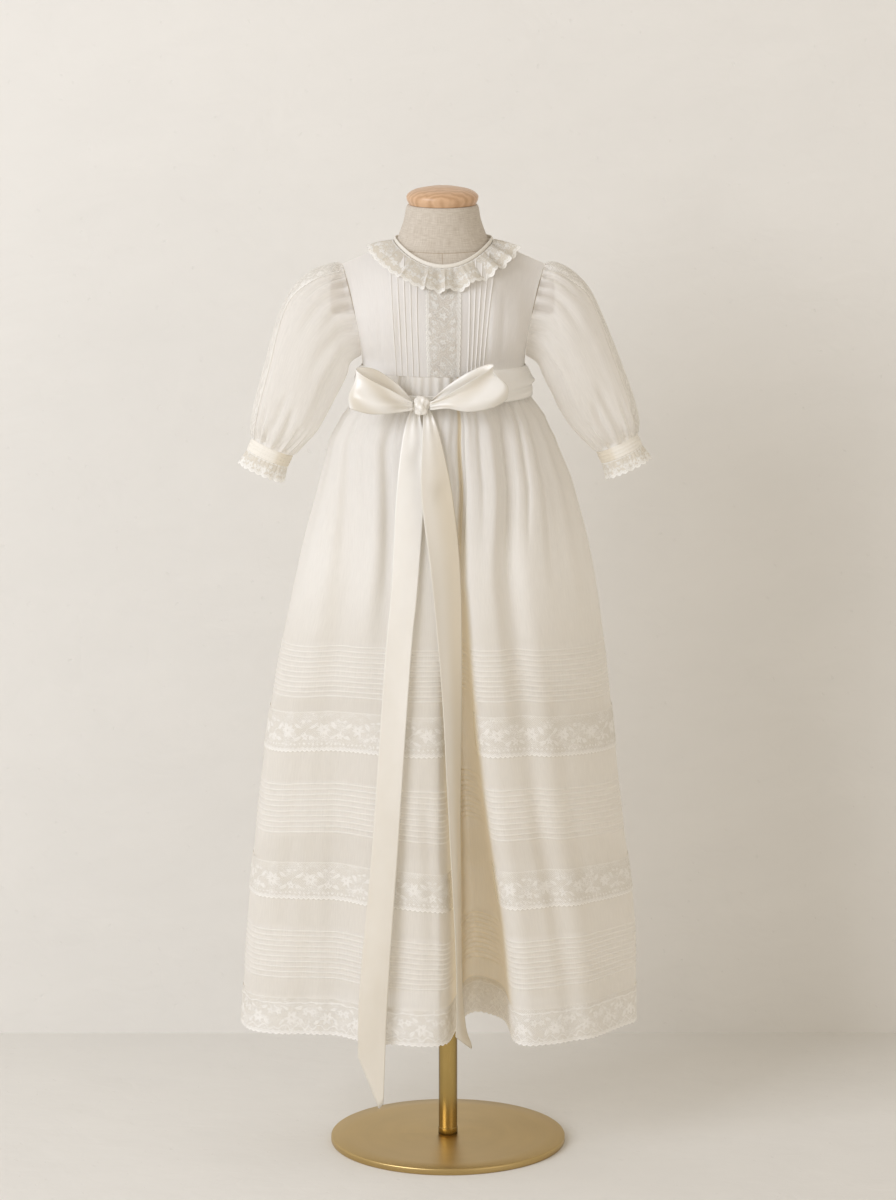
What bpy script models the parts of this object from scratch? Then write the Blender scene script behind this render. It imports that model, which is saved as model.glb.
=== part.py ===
"""A long christening gown on a limbless dress form with a brass stand.

Units are metres and +Z is up. The gown faces -Y, and the origin is the middle of the base's underside.
Each cloth piece is a wall between two grids of points, worked out from rings of its own shape.
Pieces that are sewn together stay SEAM_GAP apart.
"""

import math
from collections import namedtuple

import bmesh
import bpy
import numpy as np

MM = 0.001
SEAM_GAP = 0.3 * MM
SMOOTH_ANGLE = 50
SHARP_ANGLE = 35

# Stand
STAND = (0.0, 0.0)
BASE_RADIUS = 0.120
BASE_THICKNESS = 0.007
BASE_BEVEL = 0.0012
BASE_SIDES = 48
POLE_RADIUS = 0.0095
POLE_SIDES = 20
FORM_BOTTOM = 0.630

# Heights of the gown
WAIST = 0.803
UNDERARM = 0.816
CHEST = 0.860
SHOULDER_POINT = 0.9065
NECK_SIDE = 0.9335
ORGANZA_EDGE = 0.163
HEM = 0.129

# Walls
ORGANZA = 1.4 * MM
BODICE_CLOTH = 1.2 * MM
LACE = 1.0 * MM
SATIN = 1.2 * MM

# Bodice
GOWN_X = -0.0045
WAIST_HALF = 0.080
UNDERARM_HALF = 0.0805
CHEST_HALF = 0.0865
SHOULDER_HALF = 0.0998
NECK_HALF = 0.0485
CHEST_AT_ARMHOLE = 0.919
ARMHOLE_RISE = 0.026
ARMHOLE_PULL = 0.005
LEVEL_POWER = 2.2
CHEST_POWER = 2.4
BODICE_RISES = (0.0, 0.25, 0.5, 0.75, 1.0)

# Columns of the bodice, as shares of its half width
PANEL_SHARE = 0.2045
PINTUCK_SHARES = (0.300, 0.364, 0.428, 0.492, 0.556)
SIDE_SHARES = (0.62, 0.74, 0.85, 0.94, 1.0)
BACK_SHARES = (0.14, 0.28, 0.42, 0.545) + SIDE_SHARES
PINTUCK_WIDTH = 0.010
PINTUCK_HEIGHT = 0.9 * MM

# Depths of the bodice: from the middle plane to the cloth, at each level
BodiceSide = namedtuple("BodiceSide", "sign waist underarm chest neck neck_drop")
FRONT = BodiceSide(-1, 0.0640, 0.0655, 0.0670, 0.0500, 0.0215)
BACK = BodiceSide(1, 0.0600, 0.0620, 0.0620, 0.0400, 0.0015)

# Skirt: its outline without folds, from the waist down
SkirtRing = namedtuple("SkirtRing", "height left right front back")
SKIRT_RINGS = (
    SkirtRing(0.8027, -0.0845, 0.0755, -0.0640, 0.0600),
    SkirtRing(0.7900, -0.0870, 0.0780, -0.0650, 0.0620),
    SkirtRing(0.7750, -0.0895, 0.0805, -0.0662, 0.0640),
    SkirtRing(0.7650, -0.0960, 0.0880, -0.0690, 0.0665),
    SkirtRing(0.7550, -0.1040, 0.0955, -0.0740, 0.0700),
    SkirtRing(0.7330, -0.1160, 0.1060, -0.0790, 0.0740),
    SkirtRing(0.6900, -0.1270, 0.1230, -0.0840, 0.0790),
    SkirtRing(0.6300, -0.1430, 0.1390, -0.0870, 0.0830),
    SkirtRing(0.5720, -0.1570, 0.1505, -0.0890, 0.0850),
    SkirtRing(0.5200, -0.1690, 0.1580, -0.0910, 0.0870),
    SkirtRing(0.4400, -0.1820, 0.1670, -0.0930, 0.0890),
    SkirtRing(0.3650, -0.1910, 0.1750, -0.0950, 0.0910),
    SkirtRing(0.2400, -0.2020, 0.1900, -0.0980, 0.0950),
    SkirtRing(0.1290, -0.2090, 0.1920, -0.1000, 0.0980),
)
SQUARE_AT_WAIST = 2.0
SQUARE_AT_HEM = 2.5
FOLD_LEVELS = (0.803, 0.600, 0.129)

# Skirt folds: each line runs down a crest or into a valley. Shares are of the skirt's half width,
# and insets are how far the line lies behind the outline at the waist, the hip and the hem.
# Steps are the columns from this line to the next.
FoldLine = namedtuple("FoldLine", "name steps waist hip hem waist_in hip_in hem_in")
FRONT_FOLDS = (
    FoldLine("side_left", 1, -1.00, -1.000, -1.000, 0.000, 0.000, 0.000),
    FoldLine("left_turn", 2, -0.95, -0.955, -0.965, 0.000, 0.000, 0.000),
    FoldLine("left_panel", 1, -0.88, -0.820, -0.830, 0.000, -0.003, 0.013),
    FoldLine("left_crease", 2, -0.80, -0.640, -0.680, 0.005, 0.008, 0.028),
    FoldLine("left_crest", 2, -0.64, -0.500, -0.520, -0.001, -0.003, 0.030),
    FoldLine("tail_valley", 1, -0.50, -0.370, -0.370, 0.004, 0.008, 0.026),
    FoldLine("centre_left", 1, -0.34, -0.250, -0.240, -0.001, -0.002, 0.014),
    FoldLine("centre_crest", 2, -0.16, -0.130, -0.090, 0.000, -0.004, -0.001),
    FoldLine("centre_edge", 1, 0.02, -0.005, 0.050, 0.000, -0.002, 0.008),
    FoldLine("pleat_mouth", 1, 0.12, 0.045, 0.098, 0.002, 0.005, 0.060),
    FoldLine("pleat_left", 1, 0.17, 0.070, 0.128, 0.004, 0.013, 0.112),
    FoldLine("pleat_right", 1, 0.21, 0.100, 0.195, 0.004, 0.013, 0.124),
    FoldLine("pleat_out", 1, 0.26, 0.140, 0.270, 0.001, 0.006, 0.095),
    FoldLine("right_edge", 2, 0.36, 0.200, 0.350, 0.001, -0.001, 0.030),
    FoldLine("right_crest", 1, 0.55, 0.310, 0.500, -0.001, -0.007, -0.007),
    FoldLine("right_valley", 1, 0.67, 0.410, 0.645, 0.005, 0.005, 0.002),
    FoldLine("right_fold", 2, 0.80, 0.580, 0.770, -0.001, -0.004, 0.006),
    FoldLine("right_turn", 1, 0.93, 0.860, 0.930, 0.001, 0.003, 0.022),
    FoldLine("side_right", 1, 1.00, 1.000, 1.000, 0.000, 0.000, 0.000),
)
BACK_FOLDS = (
    FoldLine("back_right_turn", 1, 0.93, 0.930, 0.930, 0.000, 0.001, 0.004),
    FoldLine("back_right_crest", 2, 0.75, 0.740, 0.740, 0.000, -0.003, -0.004),
    FoldLine("back_right_valley", 1, 0.56, 0.550, 0.550, 0.004, 0.008, 0.015),
    FoldLine("back_crest_one", 2, 0.37, 0.360, 0.350, 0.000, -0.003, -0.005),
    FoldLine("back_middle_valley", 1, 0.12, 0.130, 0.140, 0.004, 0.010, 0.020),
    FoldLine("back_crest_two", 2, -0.08, -0.100, -0.110, 0.000, -0.003, -0.005),
    FoldLine("back_left_valley", 1, -0.33, -0.350, -0.360, 0.004, 0.009, 0.017),
    FoldLine("back_crest_three", 1, -0.55, -0.560, -0.570, 0.000, -0.002, -0.004),
    FoldLine("back_left_crease", 1, -0.75, -0.760, -0.760, 0.003, 0.006, 0.010),
    FoldLine("back_left_turn", 1, -0.93, -0.930, -0.930, 0.000, 0.000, 0.002),
)
GATHER_DEPTH = 1.0 * MM
GATHER_END = 0.720
MITRE_LIMIT = 0.55

# Horizontal tucks of the skirt
TuckBand = namedtuple("TuckBand", "top bottom count")
TUCK_BANDS = (
    TuckBand(0.5330, 0.4815, 11),
    TuckBand(0.3910, 0.3405, 10),
    TuckBand(0.2360, 0.1880, 10),
)
TUCK_HEIGHT = 1.1 * MM
TUCK_EDGE = 0.35 * MM
LACE_RIDGE = 0.6 * MM
PLAIN_ROWS_TOP = (0.8027, 0.790, 0.775, 0.765, 0.755, 0.738, 0.712, 0.680, 0.645, 0.610, 0.572)
PLAIN_ROWS_LACE = (0.467, 0.425, 0.3095, 0.2696)
INNER_ROWS_LOW = (0.530, 0.467, 0.425, 0.385, 0.345, 0.3095, 0.2696, 0.235, 0.195, ORGANZA_EDGE)

# Lace bands round the skirt: heights of their rows, from the top
LACE_BANDS = {
    "lace_band_upper": (0.4670, 0.4250),
    "lace_band_lower": (0.3095, 0.2900, 0.2696),
    "hem_lace": (0.1680, HEM),
}

# Sleeves: each ring's outermost and innermost point in the X-Z plane, and half its depth
SleeveRing = namedtuple("SleeveRing", "outer_x outer_z inner_x inner_z half_depth")
SLEEVE_LEFT = (
    SleeveRing(-0.1190, 0.9040, -0.0975, 0.8085, 0.038),
    SleeveRing(-0.1370, 0.8965, -0.1010, 0.7970, 0.044),
    SleeveRing(-0.1550, 0.8780, -0.1065, 0.7850, 0.047),
    SleeveRing(-0.1680, 0.8510, -0.1115, 0.7750, 0.046),
    SleeveRing(-0.1800, 0.8090, -0.1185, 0.7610, 0.042),
    SleeveRing(-0.1920, 0.7660, -0.1290, 0.7415, 0.035),
    SleeveRing(-0.1955, 0.7470, -0.1400, 0.7290, 0.029),
    SleeveRing(-0.1950, 0.7320, -0.1555, 0.7147, 0.018),
)
SLEEVE_RIGHT = (
    SleeveRing(0.1080, 0.9055, 0.0895, 0.8080, 0.038),
    SleeveRing(0.1230, 0.8975, 0.0950, 0.7965, 0.043),
    SleeveRing(0.1385, 0.8810, 0.1000, 0.7860, 0.045),
    SleeveRing(0.1510, 0.8560, 0.1045, 0.7770, 0.044),
    SleeveRing(0.1675, 0.8160, 0.1100, 0.7640, 0.041),
    SleeveRing(0.1840, 0.7720, 0.1210, 0.7460, 0.035),
    SleeveRing(0.1893, 0.7500, 0.1340, 0.7315, 0.029),
    SleeveRing(0.1880, 0.7365, 0.1488, 0.7183, 0.018),
)
SLEEVE_COLUMNS = 20
SLEEVE_GATHER = 2.2 * MM
SLEEVE_GATHER_ROWS = (0.0, 1.0, 0.6, 0.3)
SLEEVE_SEAM_SHIFT = 1.1 * MM
SLEEVE_LACE_REACH = 1
CUFF_COLUMNS = 16
CUFF_START = 0.5 * MM
CUFF_LENGTH = 0.0122
CUFF_TUCKS = 3
CUFF_TUCK_HEIGHT = 0.6 * MM
CUFF_LACE_LENGTH = 0.0170
CUFF_LACE_FLARE = 0.0030
CUFF_LACE_WAVES = 8
CUFF_LACE_WAVE_HEIGHT = 1.6 * MM

# Collar frill
COLLAR_WIDTH = 0.0270
COLLAR_WAVES = 18
COLLAR_WAVE_HEIGHT = 3.0 * MM
COLLAR_WAVE_RAISE = 0.5
COLLAR_SLOPE_SIDE = math.radians(19)
COLLAR_SLOPE_ADDED = math.radians(30)
COLLAR_OPENING = math.radians(4)
COLLAR_STAND_OFF = 1.9 * MM
COLLAR_LIFT = 0.9 * MM
BINDING_HEIGHT = 4.0 * MM
BINDING_LIFT = 1.2 * MM
BINDING_LEAN = 0.8 * MM
BINDING_WALL = 1.6 * MM
BINDING_COLUMNS = 32

# Sash: half sizes of its ring, and its edges away from the knot and at the knot
SASH_HALF_WIDTH = 0.0883
SASH_FRONT = 0.0708
SASH_BACK = 0.0690
SASH_TOP_SIDE = 0.8050
SASH_TOP_FRONT = 0.8125
SASH_BOTTOM = 0.7760
SASH_KNOT_TOP = 0.7850
SASH_KNOT_BOTTOM = 0.7735
SASH_CRUMPLE = 0.6 * MM
SASH_DRAWN = 0.012
SASH_DRAWN_FADE = 0.048
SASH_COLUMNS = 32
SASH_ROWS = 4

# Bow: ribbon stations from the knot round each loop and back to the knot
KNOT = (-0.0262, -0.0805, 0.7775)
KNOT_RADII = (0.0080, 0.0088, 0.0095)
KNOT_TILTS = (-75, -45, -15, 15, 45, 75)
KNOT_COLUMNS = 16
KNOT_PLEATS = (0.96, 1.08)
RibbonStation = namedtuple("RibbonStation", "low_x low_z high_x high_z y")
LOOP_LEFT = (
    RibbonStation(-0.0345, 0.7740, -0.0345, 0.7815, -0.0780),
    RibbonStation(-0.0520, 0.7725, -0.0500, 0.7985, -0.0765),
    RibbonStation(-0.0720, 0.7715, -0.0700, 0.8120, -0.0770),
    RibbonStation(-0.0900, 0.7730, -0.0860, 0.8155, -0.0790),
    RibbonStation(-0.0975, 0.7750, -0.0905, 0.8140, -0.0840),
    RibbonStation(-0.0930, 0.7745, -0.0870, 0.8110, -0.0910),
    RibbonStation(-0.0760, 0.7710, -0.0730, 0.8035, -0.0950),
    RibbonStation(-0.0560, 0.7715, -0.0540, 0.7935, -0.0930),
    RibbonStation(-0.0345, 0.7735, -0.0345, 0.7815, -0.0845),
)
LOOP_RIGHT = (
    RibbonStation(-0.0179, 0.7740, -0.0179, 0.7815, -0.0780),
    RibbonStation(0.0000, 0.7760, -0.0010, 0.7960, -0.0765),
    RibbonStation(0.0200, 0.7740, 0.0180, 0.8090, -0.0770),
    RibbonStation(0.0430, 0.7765, 0.0380, 0.8180, -0.0785),
    RibbonStation(0.0590, 0.7850, 0.0460, 0.8185, -0.0840),
    RibbonStation(0.0450, 0.7770, 0.0400, 0.8140, -0.0905),
    RibbonStation(0.0200, 0.7735, 0.0180, 0.8015, -0.0950),
    RibbonStation(0.0000, 0.7765, -0.0010, 0.7900, -0.0930),
    RibbonStation(-0.0179, 0.7735, -0.0179, 0.7815, -0.0845),
)
LOOP_STEPS = 2
LOOP_ROWS = 4

# Tails: the two edges of each ribbon, from under the knot down
TailStation = namedtuple("TailStation", "height left_x left_y right_x right_y")
TAIL_LEFT = (
    TailStation(0.7750, -0.0345, -0.0682, -0.0275, -0.0697),
    TailStation(0.7640, -0.0400, -0.0730, -0.0270, -0.0725),
    TailStation(0.7400, -0.0455, -0.0820, -0.0230, -0.0812),
    TailStation(0.6860, -0.0514, -0.0900, -0.0235, -0.0888),
    TailStation(0.5955, -0.0562, -0.0960, -0.0300, -0.0965),
    TailStation(0.5280, -0.0623, -0.0995, -0.0366, -0.1010),
    TailStation(0.3357, -0.0756, -0.1000, -0.0497, -0.1030),
    TailStation(0.1834, -0.0890, -0.1000, -0.0600, -0.1040),
    TailStation(0.0800, -0.0850, -0.1000, -0.0590, -0.1040),
)
TAIL_LEFT_CUT = (-0.0700, 0.0650)
TAIL_RIGHT = (
    TailStation(0.7750, -0.0256, -0.0704, -0.0195, -0.0714),
    TailStation(0.7640, -0.0245, -0.0755, -0.0135, -0.0755),
    TailStation(0.7400, -0.0262, -0.0855, -0.0060, -0.0840),
    TailStation(0.6900, -0.0268, -0.0935, 0.0045, -0.0915),
    TailStation(0.6150, -0.0180, -0.1000, 0.0125, -0.0960),
    TailStation(0.5260, -0.0099, -0.1030, 0.0139, -0.0950),
    TailStation(0.4200, -0.0025, -0.1040, 0.0135, -0.0850),
    TailStation(0.3290, 0.0030, -0.1040, 0.0123, -0.0790),
    TailStation(0.1720, 0.0090, -0.1020, 0.0158, -0.0760),
    TailStation(0.1350, 0.0125, -0.1010, 0.0190, -0.0750),
)
TAIL_RIGHT_CUT = (0.0225, 0.1170)
TAIL_COLUMNS = 3
TAIL_STEPS = 2

# Back opening
BUTTON_RADIUS = 0.0045
BUTTON_THICKNESS = 0.0020
BUTTON_SIDES = 12
BUTTON_HEIGHTS = (0.9180, 0.8750, 0.8320)
BUTTON_INSET = 0.0070
BUTTON_CLEAR = 0.2 * MM

# Dress form: half width and half depth at each height
FormRing = namedtuple("FormRing", "height half_width half_depth")
FORM_RINGS = (
    FormRing(FORM_BOTTOM, 0.058, 0.038),
    FormRing(0.6350, 0.067, 0.045),
    FormRing(0.6600, 0.074, 0.050),
    FormRing(0.7300, 0.074, 0.051),
    FormRing(0.8000, 0.072, 0.051),
    FormRing(0.8700, 0.077, 0.056),
    FormRing(0.8880, 0.078, 0.052),
    FormRing(0.9000, 0.0780, 0.0465),
    FormRing(0.9090, 0.0697, 0.0425),
    FormRing(0.9190, 0.0560, 0.0380),
    FormRing(0.9290, 0.0435, 0.0357),
    FormRing(0.9400, 0.0402, 0.0355),
    FormRing(0.9520, 0.0380, 0.0350),
    FormRing(0.9630, 0.0360, 0.0340),
    FormRing(0.9660, 0.0345, 0.0325),
)
FORM_COLUMNS = 28
STUB_START = 0.0400
STUB_REACH = 0.1110
STUB_RADIUS = 0.0175
STUB_END_SCALE = 0.84
STUB_ROUNDING = 0.0030
STUB_HEIGHT = 0.8740
CAP_RINGS = (
    FormRing(0.9663, 0.0330, 0.0315),
    FormRing(0.9720, 0.0355, 0.0340),
    FormRing(0.9765, 0.0345, 0.0330),
    FormRing(0.9810, 0.0270, 0.0260),
    FormRing(0.9840, 0.0120, 0.0115),
)
FORM_X = -0.0055
FORM_Y = -0.0020
CAP_COLUMNS = 20
STUB_COLUMNS = 16


def clear_scene():
    for thing in list(bpy.data.objects):
        bpy.data.objects.remove(thing, do_unlink=True)


def material(name, colour, roughness, metallic=0.0):
    made = bpy.data.materials.new(name)
    made.use_nodes = True
    shader = made.node_tree.nodes["Principled BSDF"]
    shader.inputs["Base Color"].default_value = (*colour, 1.0)
    shader.inputs["Roughness"].default_value = roughness
    shader.inputs["Metallic"].default_value = metallic
    made.diffuse_color = (*colour, 1.0)
    return made


def add_body(name, points, faces, look, sharp=SMOOTH_ANGLE):
    """One closed body with its faces pointing out."""
    mesh = bpy.data.meshes.new(name)
    mesh.from_pydata([tuple(point) for point in points], [], faces)
    body = bmesh.new()
    body.from_mesh(mesh)
    bmesh.ops.recalc_face_normals(body, faces=body.faces)
    if body.calc_volume(signed=True) < 0:
        bmesh.ops.reverse_faces(body, faces=body.faces)
    body.to_mesh(mesh)
    body.free()
    mesh.materials.append(look)
    mesh.shade_smooth()
    mesh.set_sharp_from_angle(angle=math.radians(sharp))
    made = bpy.data.objects.new(name, mesh)
    bpy.context.collection.objects.link(made)
    return made


def smooth_step(share):
    share = min(max(share, 0.0), 1.0)
    return share * share * (3 - 2 * share)


def along(stations, shares):
    """Points on a smooth curve through stations, at shares of its length counted in stations."""
    stations = np.asarray(stations, float)
    last = len(stations) - 1
    found = []
    for share in shares:
        start = min(int(share), last - 1)
        t = share - start
        before = stations[max(start - 1, 0)]
        after = stations[min(start + 2, last)]
        a, b = stations[start], stations[start + 1]
        slope_a = (b - before) / 2 if start > 0 else b - a
        slope_b = (after - a) / 2 if start + 2 <= last else b - a
        h1, h2 = 2 * t**3 - 3 * t**2 + 1, -2 * t**3 + 3 * t**2
        h3, h4 = t**3 - 2 * t**2 + t, t**3 - t**2
        found.append(h1 * a + h2 * b + h3 * slope_a + h4 * slope_b)
    return np.array(found)


def grid_normals(grid, ring, centres):
    """Unit normals of a grid of points, pointing away from each row's centre."""
    across = np.empty_like(grid)
    if ring:
        across = np.roll(grid, -1, axis=1) - np.roll(grid, 1, axis=1)
    else:
        across[:, 1:-1] = grid[:, 2:] - grid[:, :-2]
        across[:, 0] = grid[:, 1] - grid[:, 0]
        across[:, -1] = grid[:, -1] - grid[:, -2]
    down = np.gradient(grid, axis=0)
    normals = np.cross(across, down)
    normals /= np.linalg.norm(normals, axis=2, keepdims=True)
    away = grid - centres
    if (normals * away).sum() < 0:
        normals = -normals
    return normals


def row_centres(grid):
    return grid.mean(axis=1, keepdims=True)


def quads(first, second):
    """Four-sided faces between two chains with the same number of points."""
    pairs = range(len(first) - 1)
    return [tuple(int(n) for n in (first[i], first[i + 1], second[i + 1], second[i])) for i in pairs]


def stitch(points, first, second):
    """Triangles between two chains of point numbers that start and end side by side."""
    chord = points[first[-1]] - points[first[0]]
    faces = []
    i = j = 0
    while i < len(first) - 1 or j < len(second) - 1:
        ahead = other = math.inf
        if i < len(first) - 1:
            ahead = np.dot(points[first[i + 1]], chord)
        if j < len(second) - 1:
            other = np.dot(points[second[j + 1]], chord)
        if ahead <= other:
            faces.append((int(first[i]), int(first[i + 1]), int(second[j])))
            i += 1
        else:
            faces.append((int(first[i]), int(second[j + 1]), int(second[j])))
            j += 1
    return faces


def add_wall(name, outer, inner, look, ring=False, sharp=SMOOTH_ANGLE, inner_edges=None):
    """A closed wall between two grids with the same number of columns.

    inner_edges holds the inner face's two edge columns where those have the outer face's rows.
    """
    rows_out, columns = outer.shape[:2]
    parts = [outer.reshape(-1, 3)]
    if inner_edges is not None:
        inner = inner[:, 1:-1]
        parts += list(inner_edges)
    rows_in, columns_in = inner.shape[:2]
    parts.append(inner.reshape(-1, 3))
    points = np.concatenate(parts)
    out = np.arange(rows_out * columns).reshape(rows_out, columns)
    first = len(points) - rows_in * columns_in
    back = np.arange(first, len(points)).reshape(rows_in, columns_in)
    faces = []
    for numbers in (out, back):
        if ring:
            numbers = np.concatenate([numbers, numbers[:, :1]], axis=1)
        for row in range(len(numbers) - 1):
            faces += quads(numbers[row], numbers[row + 1])
    left, right, top, bottom = back[:, 0], back[:, -1], back[0], back[-1]
    if inner_edges is not None:
        left = out.size + np.arange(rows_out)
        right = left + rows_out
        faces += stitch(points, left, back[:, 0])
        faces += stitch(points, back[:, -1], right)
        top = np.concatenate([left[:1], top, right[:1]])
        bottom = np.concatenate([left[-1:], bottom, right[-1:]])
    rims = [(out[0], top), (out[-1], bottom)]
    if ring:
        rims = [(np.append(a, a[0]), np.append(b, b[0])) for a, b in rims]
    else:
        rims += [(out[:, 0], left), (out[:, -1], right)]
    for a, b in rims:
        faces += quads(a, b) if len(a) == len(b) else stitch(points, a, b)
    return add_body(name, points, faces, look, sharp=sharp)


def add_cloth(name, grid, normals, near, far, look, ring=False, sharp=SMOOTH_ANGLE):
    """A wall from near to far along a grid's normals."""
    return add_wall(name, grid + normals * far, grid + normals * near, look, ring, sharp)


def add_rings(name, rings, look, sharp=SMOOTH_ANGLE):
    """A closed body through rings of points, with a flat cap at each end."""
    count = len(rings[0])
    points = np.concatenate(rings)
    faces = [tuple(range(count)), tuple(range(len(points) - count, len(points)))]
    for row in range(len(rings) - 1):
        for column in range(count):
            beside = (column + 1) % count
            a = row * count
            b = a + count
            faces.append((a + column, a + beside, b + beside, b + column))
    return add_body(name, points, faces, look, sharp=sharp)


def oval(centre, height, half_width, half_depth, count):
    """A level oval round an (x, y) centre."""
    angles = np.arange(count) * 2 * math.pi / count
    across = centre[0] + half_width * np.cos(angles)
    deep = centre[1] + half_depth * np.sin(angles)
    return np.stack([across, deep, np.full(count, height)], axis=1)


# ---------------------------------------------------------------- stand and dress form


def make_base(look):
    """A turned round plate with a bevelled upper edge."""
    top = BASE_THICKNESS
    rings = (
        oval(STAND, 0.0, BASE_RADIUS, BASE_RADIUS, BASE_SIDES),
        oval(STAND, top - BASE_BEVEL, BASE_RADIUS, BASE_RADIUS, BASE_SIDES),
        oval(STAND, top, BASE_RADIUS - BASE_BEVEL, BASE_RADIUS - BASE_BEVEL, BASE_SIDES),
    )
    add_rings("base_plate", rings, look, sharp=SHARP_ANGLE)


def make_pole(look):
    heights = (BASE_THICKNESS + SEAM_GAP, FORM_BOTTOM - SEAM_GAP)
    rings = [oval(STAND, height, POLE_RADIUS, POLE_RADIUS, POLE_SIDES) for height in heights]
    add_rings("pole", rings, look)


def make_form(linen, wood):
    """The torso with its neck, and a short round stub at each shoulder."""
    rings = [oval((FORM_X, FORM_Y), *ring, FORM_COLUMNS) for ring in FORM_RINGS]
    torso = add_rings("form_torso", rings, linen)
    for side in (-1, 1):
        angles = np.arange(STUB_COLUMNS) * 2 * math.pi / STUB_COLUMNS
        circle = STUB_RADIUS * np.stack([angles * 0.0, np.cos(angles), np.sin(angles)], axis=1)
        plates = []
        reaches = ((STUB_START, 1.0), (STUB_REACH - STUB_ROUNDING, 1.0), (STUB_REACH, STUB_END_SCALE))
        for reach, scale in reaches:
            centre = np.array([FORM_X + side * reach, 0.0, STUB_HEIGHT])
            plates.append(circle * scale + centre)
        stub = add_rings("stub", plates, linen)
        stub.hide_render = True
        stub.display_type = "WIRE"
        joined = torso.modifiers.new("stub", "BOOLEAN")
        joined.operation = "UNION"
        joined.object = stub
    add_rings("form_neck_cap", [oval((FORM_X, FORM_Y), *ring, CAP_COLUMNS) for ring in CAP_RINGS], wood)


# ---------------------------------------------------------------- bodice, collar and buttons


def bulge(share, power=LEVEL_POWER):
    """How deep a section is at this share of its half width, from 1 in the middle to 0."""
    return (1 - min(abs(share), 1.0) ** power) ** (1 / power)


def level_point(share, half, depth, height, side):
    return np.array([GOWN_X + half * share, side.sign * depth * bulge(share), height])


def chest_point(share, side):
    """The middle of a column: fullest over the chest, and back at the armhole's edge."""
    rise = math.sin(math.pi * abs(share)) ** 2
    depth = side.chest * bulge(share * CHEST_AT_ARMHOLE, CHEST_POWER) - ARMHOLE_PULL * rise
    return np.array([GOWN_X + CHEST_HALF * share, side.sign * depth, CHEST + ARMHOLE_RISE * rise])


def top_point(share, side):
    """The neckline, or past the neck the shoulder seam."""
    neck_share = NECK_HALF / CHEST_HALF
    if abs(share) <= neck_share:
        across = min(abs(share) / neck_share, 1.0)
        middle = 1 - across * across
        depth = max(side.neck * math.sqrt(middle), SEAM_GAP / 2)
        return np.array([GOWN_X + CHEST_HALF * share, side.sign * depth, NECK_SIDE - side.neck_drop * middle])
    past = (abs(share) - neck_share) / (1 - neck_share)
    reach = NECK_HALF + (SHOULDER_HALF - NECK_HALF) * past
    height = NECK_SIDE + (SHOULDER_POINT - NECK_SIDE) * past
    return np.array([GOWN_X + math.copysign(reach, share), side.sign * SEAM_GAP / 2, height])


def bodice_point(share, rise, side):
    """A point of the bodice: rise is 0 at the underarm, 0.5 at the chest and 1 at the top edge."""
    low = level_point(share, UNDERARM_HALF, side.underarm, UNDERARM, side)
    middle = chest_point(share, side)
    top = top_point(share, side)
    found = low * (1 - rise) * (1 - 2 * rise) + middle * 4 * rise * (1 - rise) + top * rise * (2 * rise - 1)
    found[1] = side.sign * max(side.sign * found[1], SEAM_GAP / 2)
    return found


def bodice_grid(shares, side):
    """Rows from the top edge down to the waist, and their normals, level or upright at the seams."""
    rows = []
    for rise in reversed(BODICE_RISES):
        rows.append([bodice_point(share, rise, side) for share in shares])
    waist = [level_point(share, WAIST_HALF, side.waist, WAIST, side) for share in shares]
    for point in waist:
        point[1] = side.sign * max(side.sign * point[1], SEAM_GAP / 2)
    rows.append(waist)
    grid = np.array(rows)
    centre = np.array([GOWN_X, 0.0, CHEST - 0.02])
    normals = grid_normals(grid, False, centre)
    neck_share = NECK_HALF / CHEST_HALF
    for column, share in enumerate(shares):
        if abs(share) > neck_share:
            normals[0, column, 1] = 0.0
        if abs(share) == 1.0:
            normals[-2:, column] = (math.copysign(1.0, share), 0.0, 0.0)
    normals[-1, :, 2] = 0.0
    normals /= np.linalg.norm(normals, axis=2, keepdims=True)
    return grid, normals


def pintuck_columns():
    """Column shares of the front, and how far each is raised: a slope up to each tuck's edge."""
    half = [(0.0, 0.0), (PANEL_SHARE / 2, 0.0), (PANEL_SHARE, 0.0)]
    for share in PINTUCK_SHARES:
        half.append((share - PINTUCK_WIDTH, 0.0))
        half.append((share, PINTUCK_HEIGHT))
    half += [(share, 0.0) for share in SIDE_SHARES]
    mirrored = [(-share, lift) for share, lift in reversed(half[1:])]
    return mirrored + half


def make_bodice_front(cloth, lace):
    columns = pintuck_columns()
    shares = [share for share, _ in columns]
    lifts = np.array([lift for _, lift in columns])
    grid, normals = bodice_grid(shares, FRONT)
    half_wall = BODICE_CLOTH / 2
    raised = np.ones(len(grid))
    raised[0] = 0.0
    outer = grid + normals * (half_wall + lifts[None, :, None] * raised[:, None, None])
    add_wall("bodice_front", outer, grid - normals * half_wall, cloth)
    first = shares.index(-PANEL_SHARE)
    last = shares.index(PANEL_SHARE)
    panel = grid[1:, first : last + 1]
    out = normals[1:, first : last + 1]
    near = half_wall + SEAM_GAP
    add_cloth("lace_panel", panel, out, near, near + LACE, lace)


def make_bodice_backs(cloth, pearl):
    half_wall = BODICE_CLOTH / 2
    gap = SEAM_GAP / 2 / WAIST_HALF
    half = (gap, *BACK_SHARES)
    for name, sign in (("bodice_back_left", -1), ("bodice_back_right", 1)):
        shares = [sign * share for share in half]
        grid, normals = bodice_grid(shares, BACK)
        normals[:, 0, 0] = 0.0
        normals /= np.linalg.norm(normals, axis=2, keepdims=True)
        add_cloth(name, grid, normals, -half_wall, half_wall, cloth)
    for number, height in enumerate(BUTTON_HEIGHTS, 1):
        make_button(f"button_{number}", height, pearl)


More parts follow.
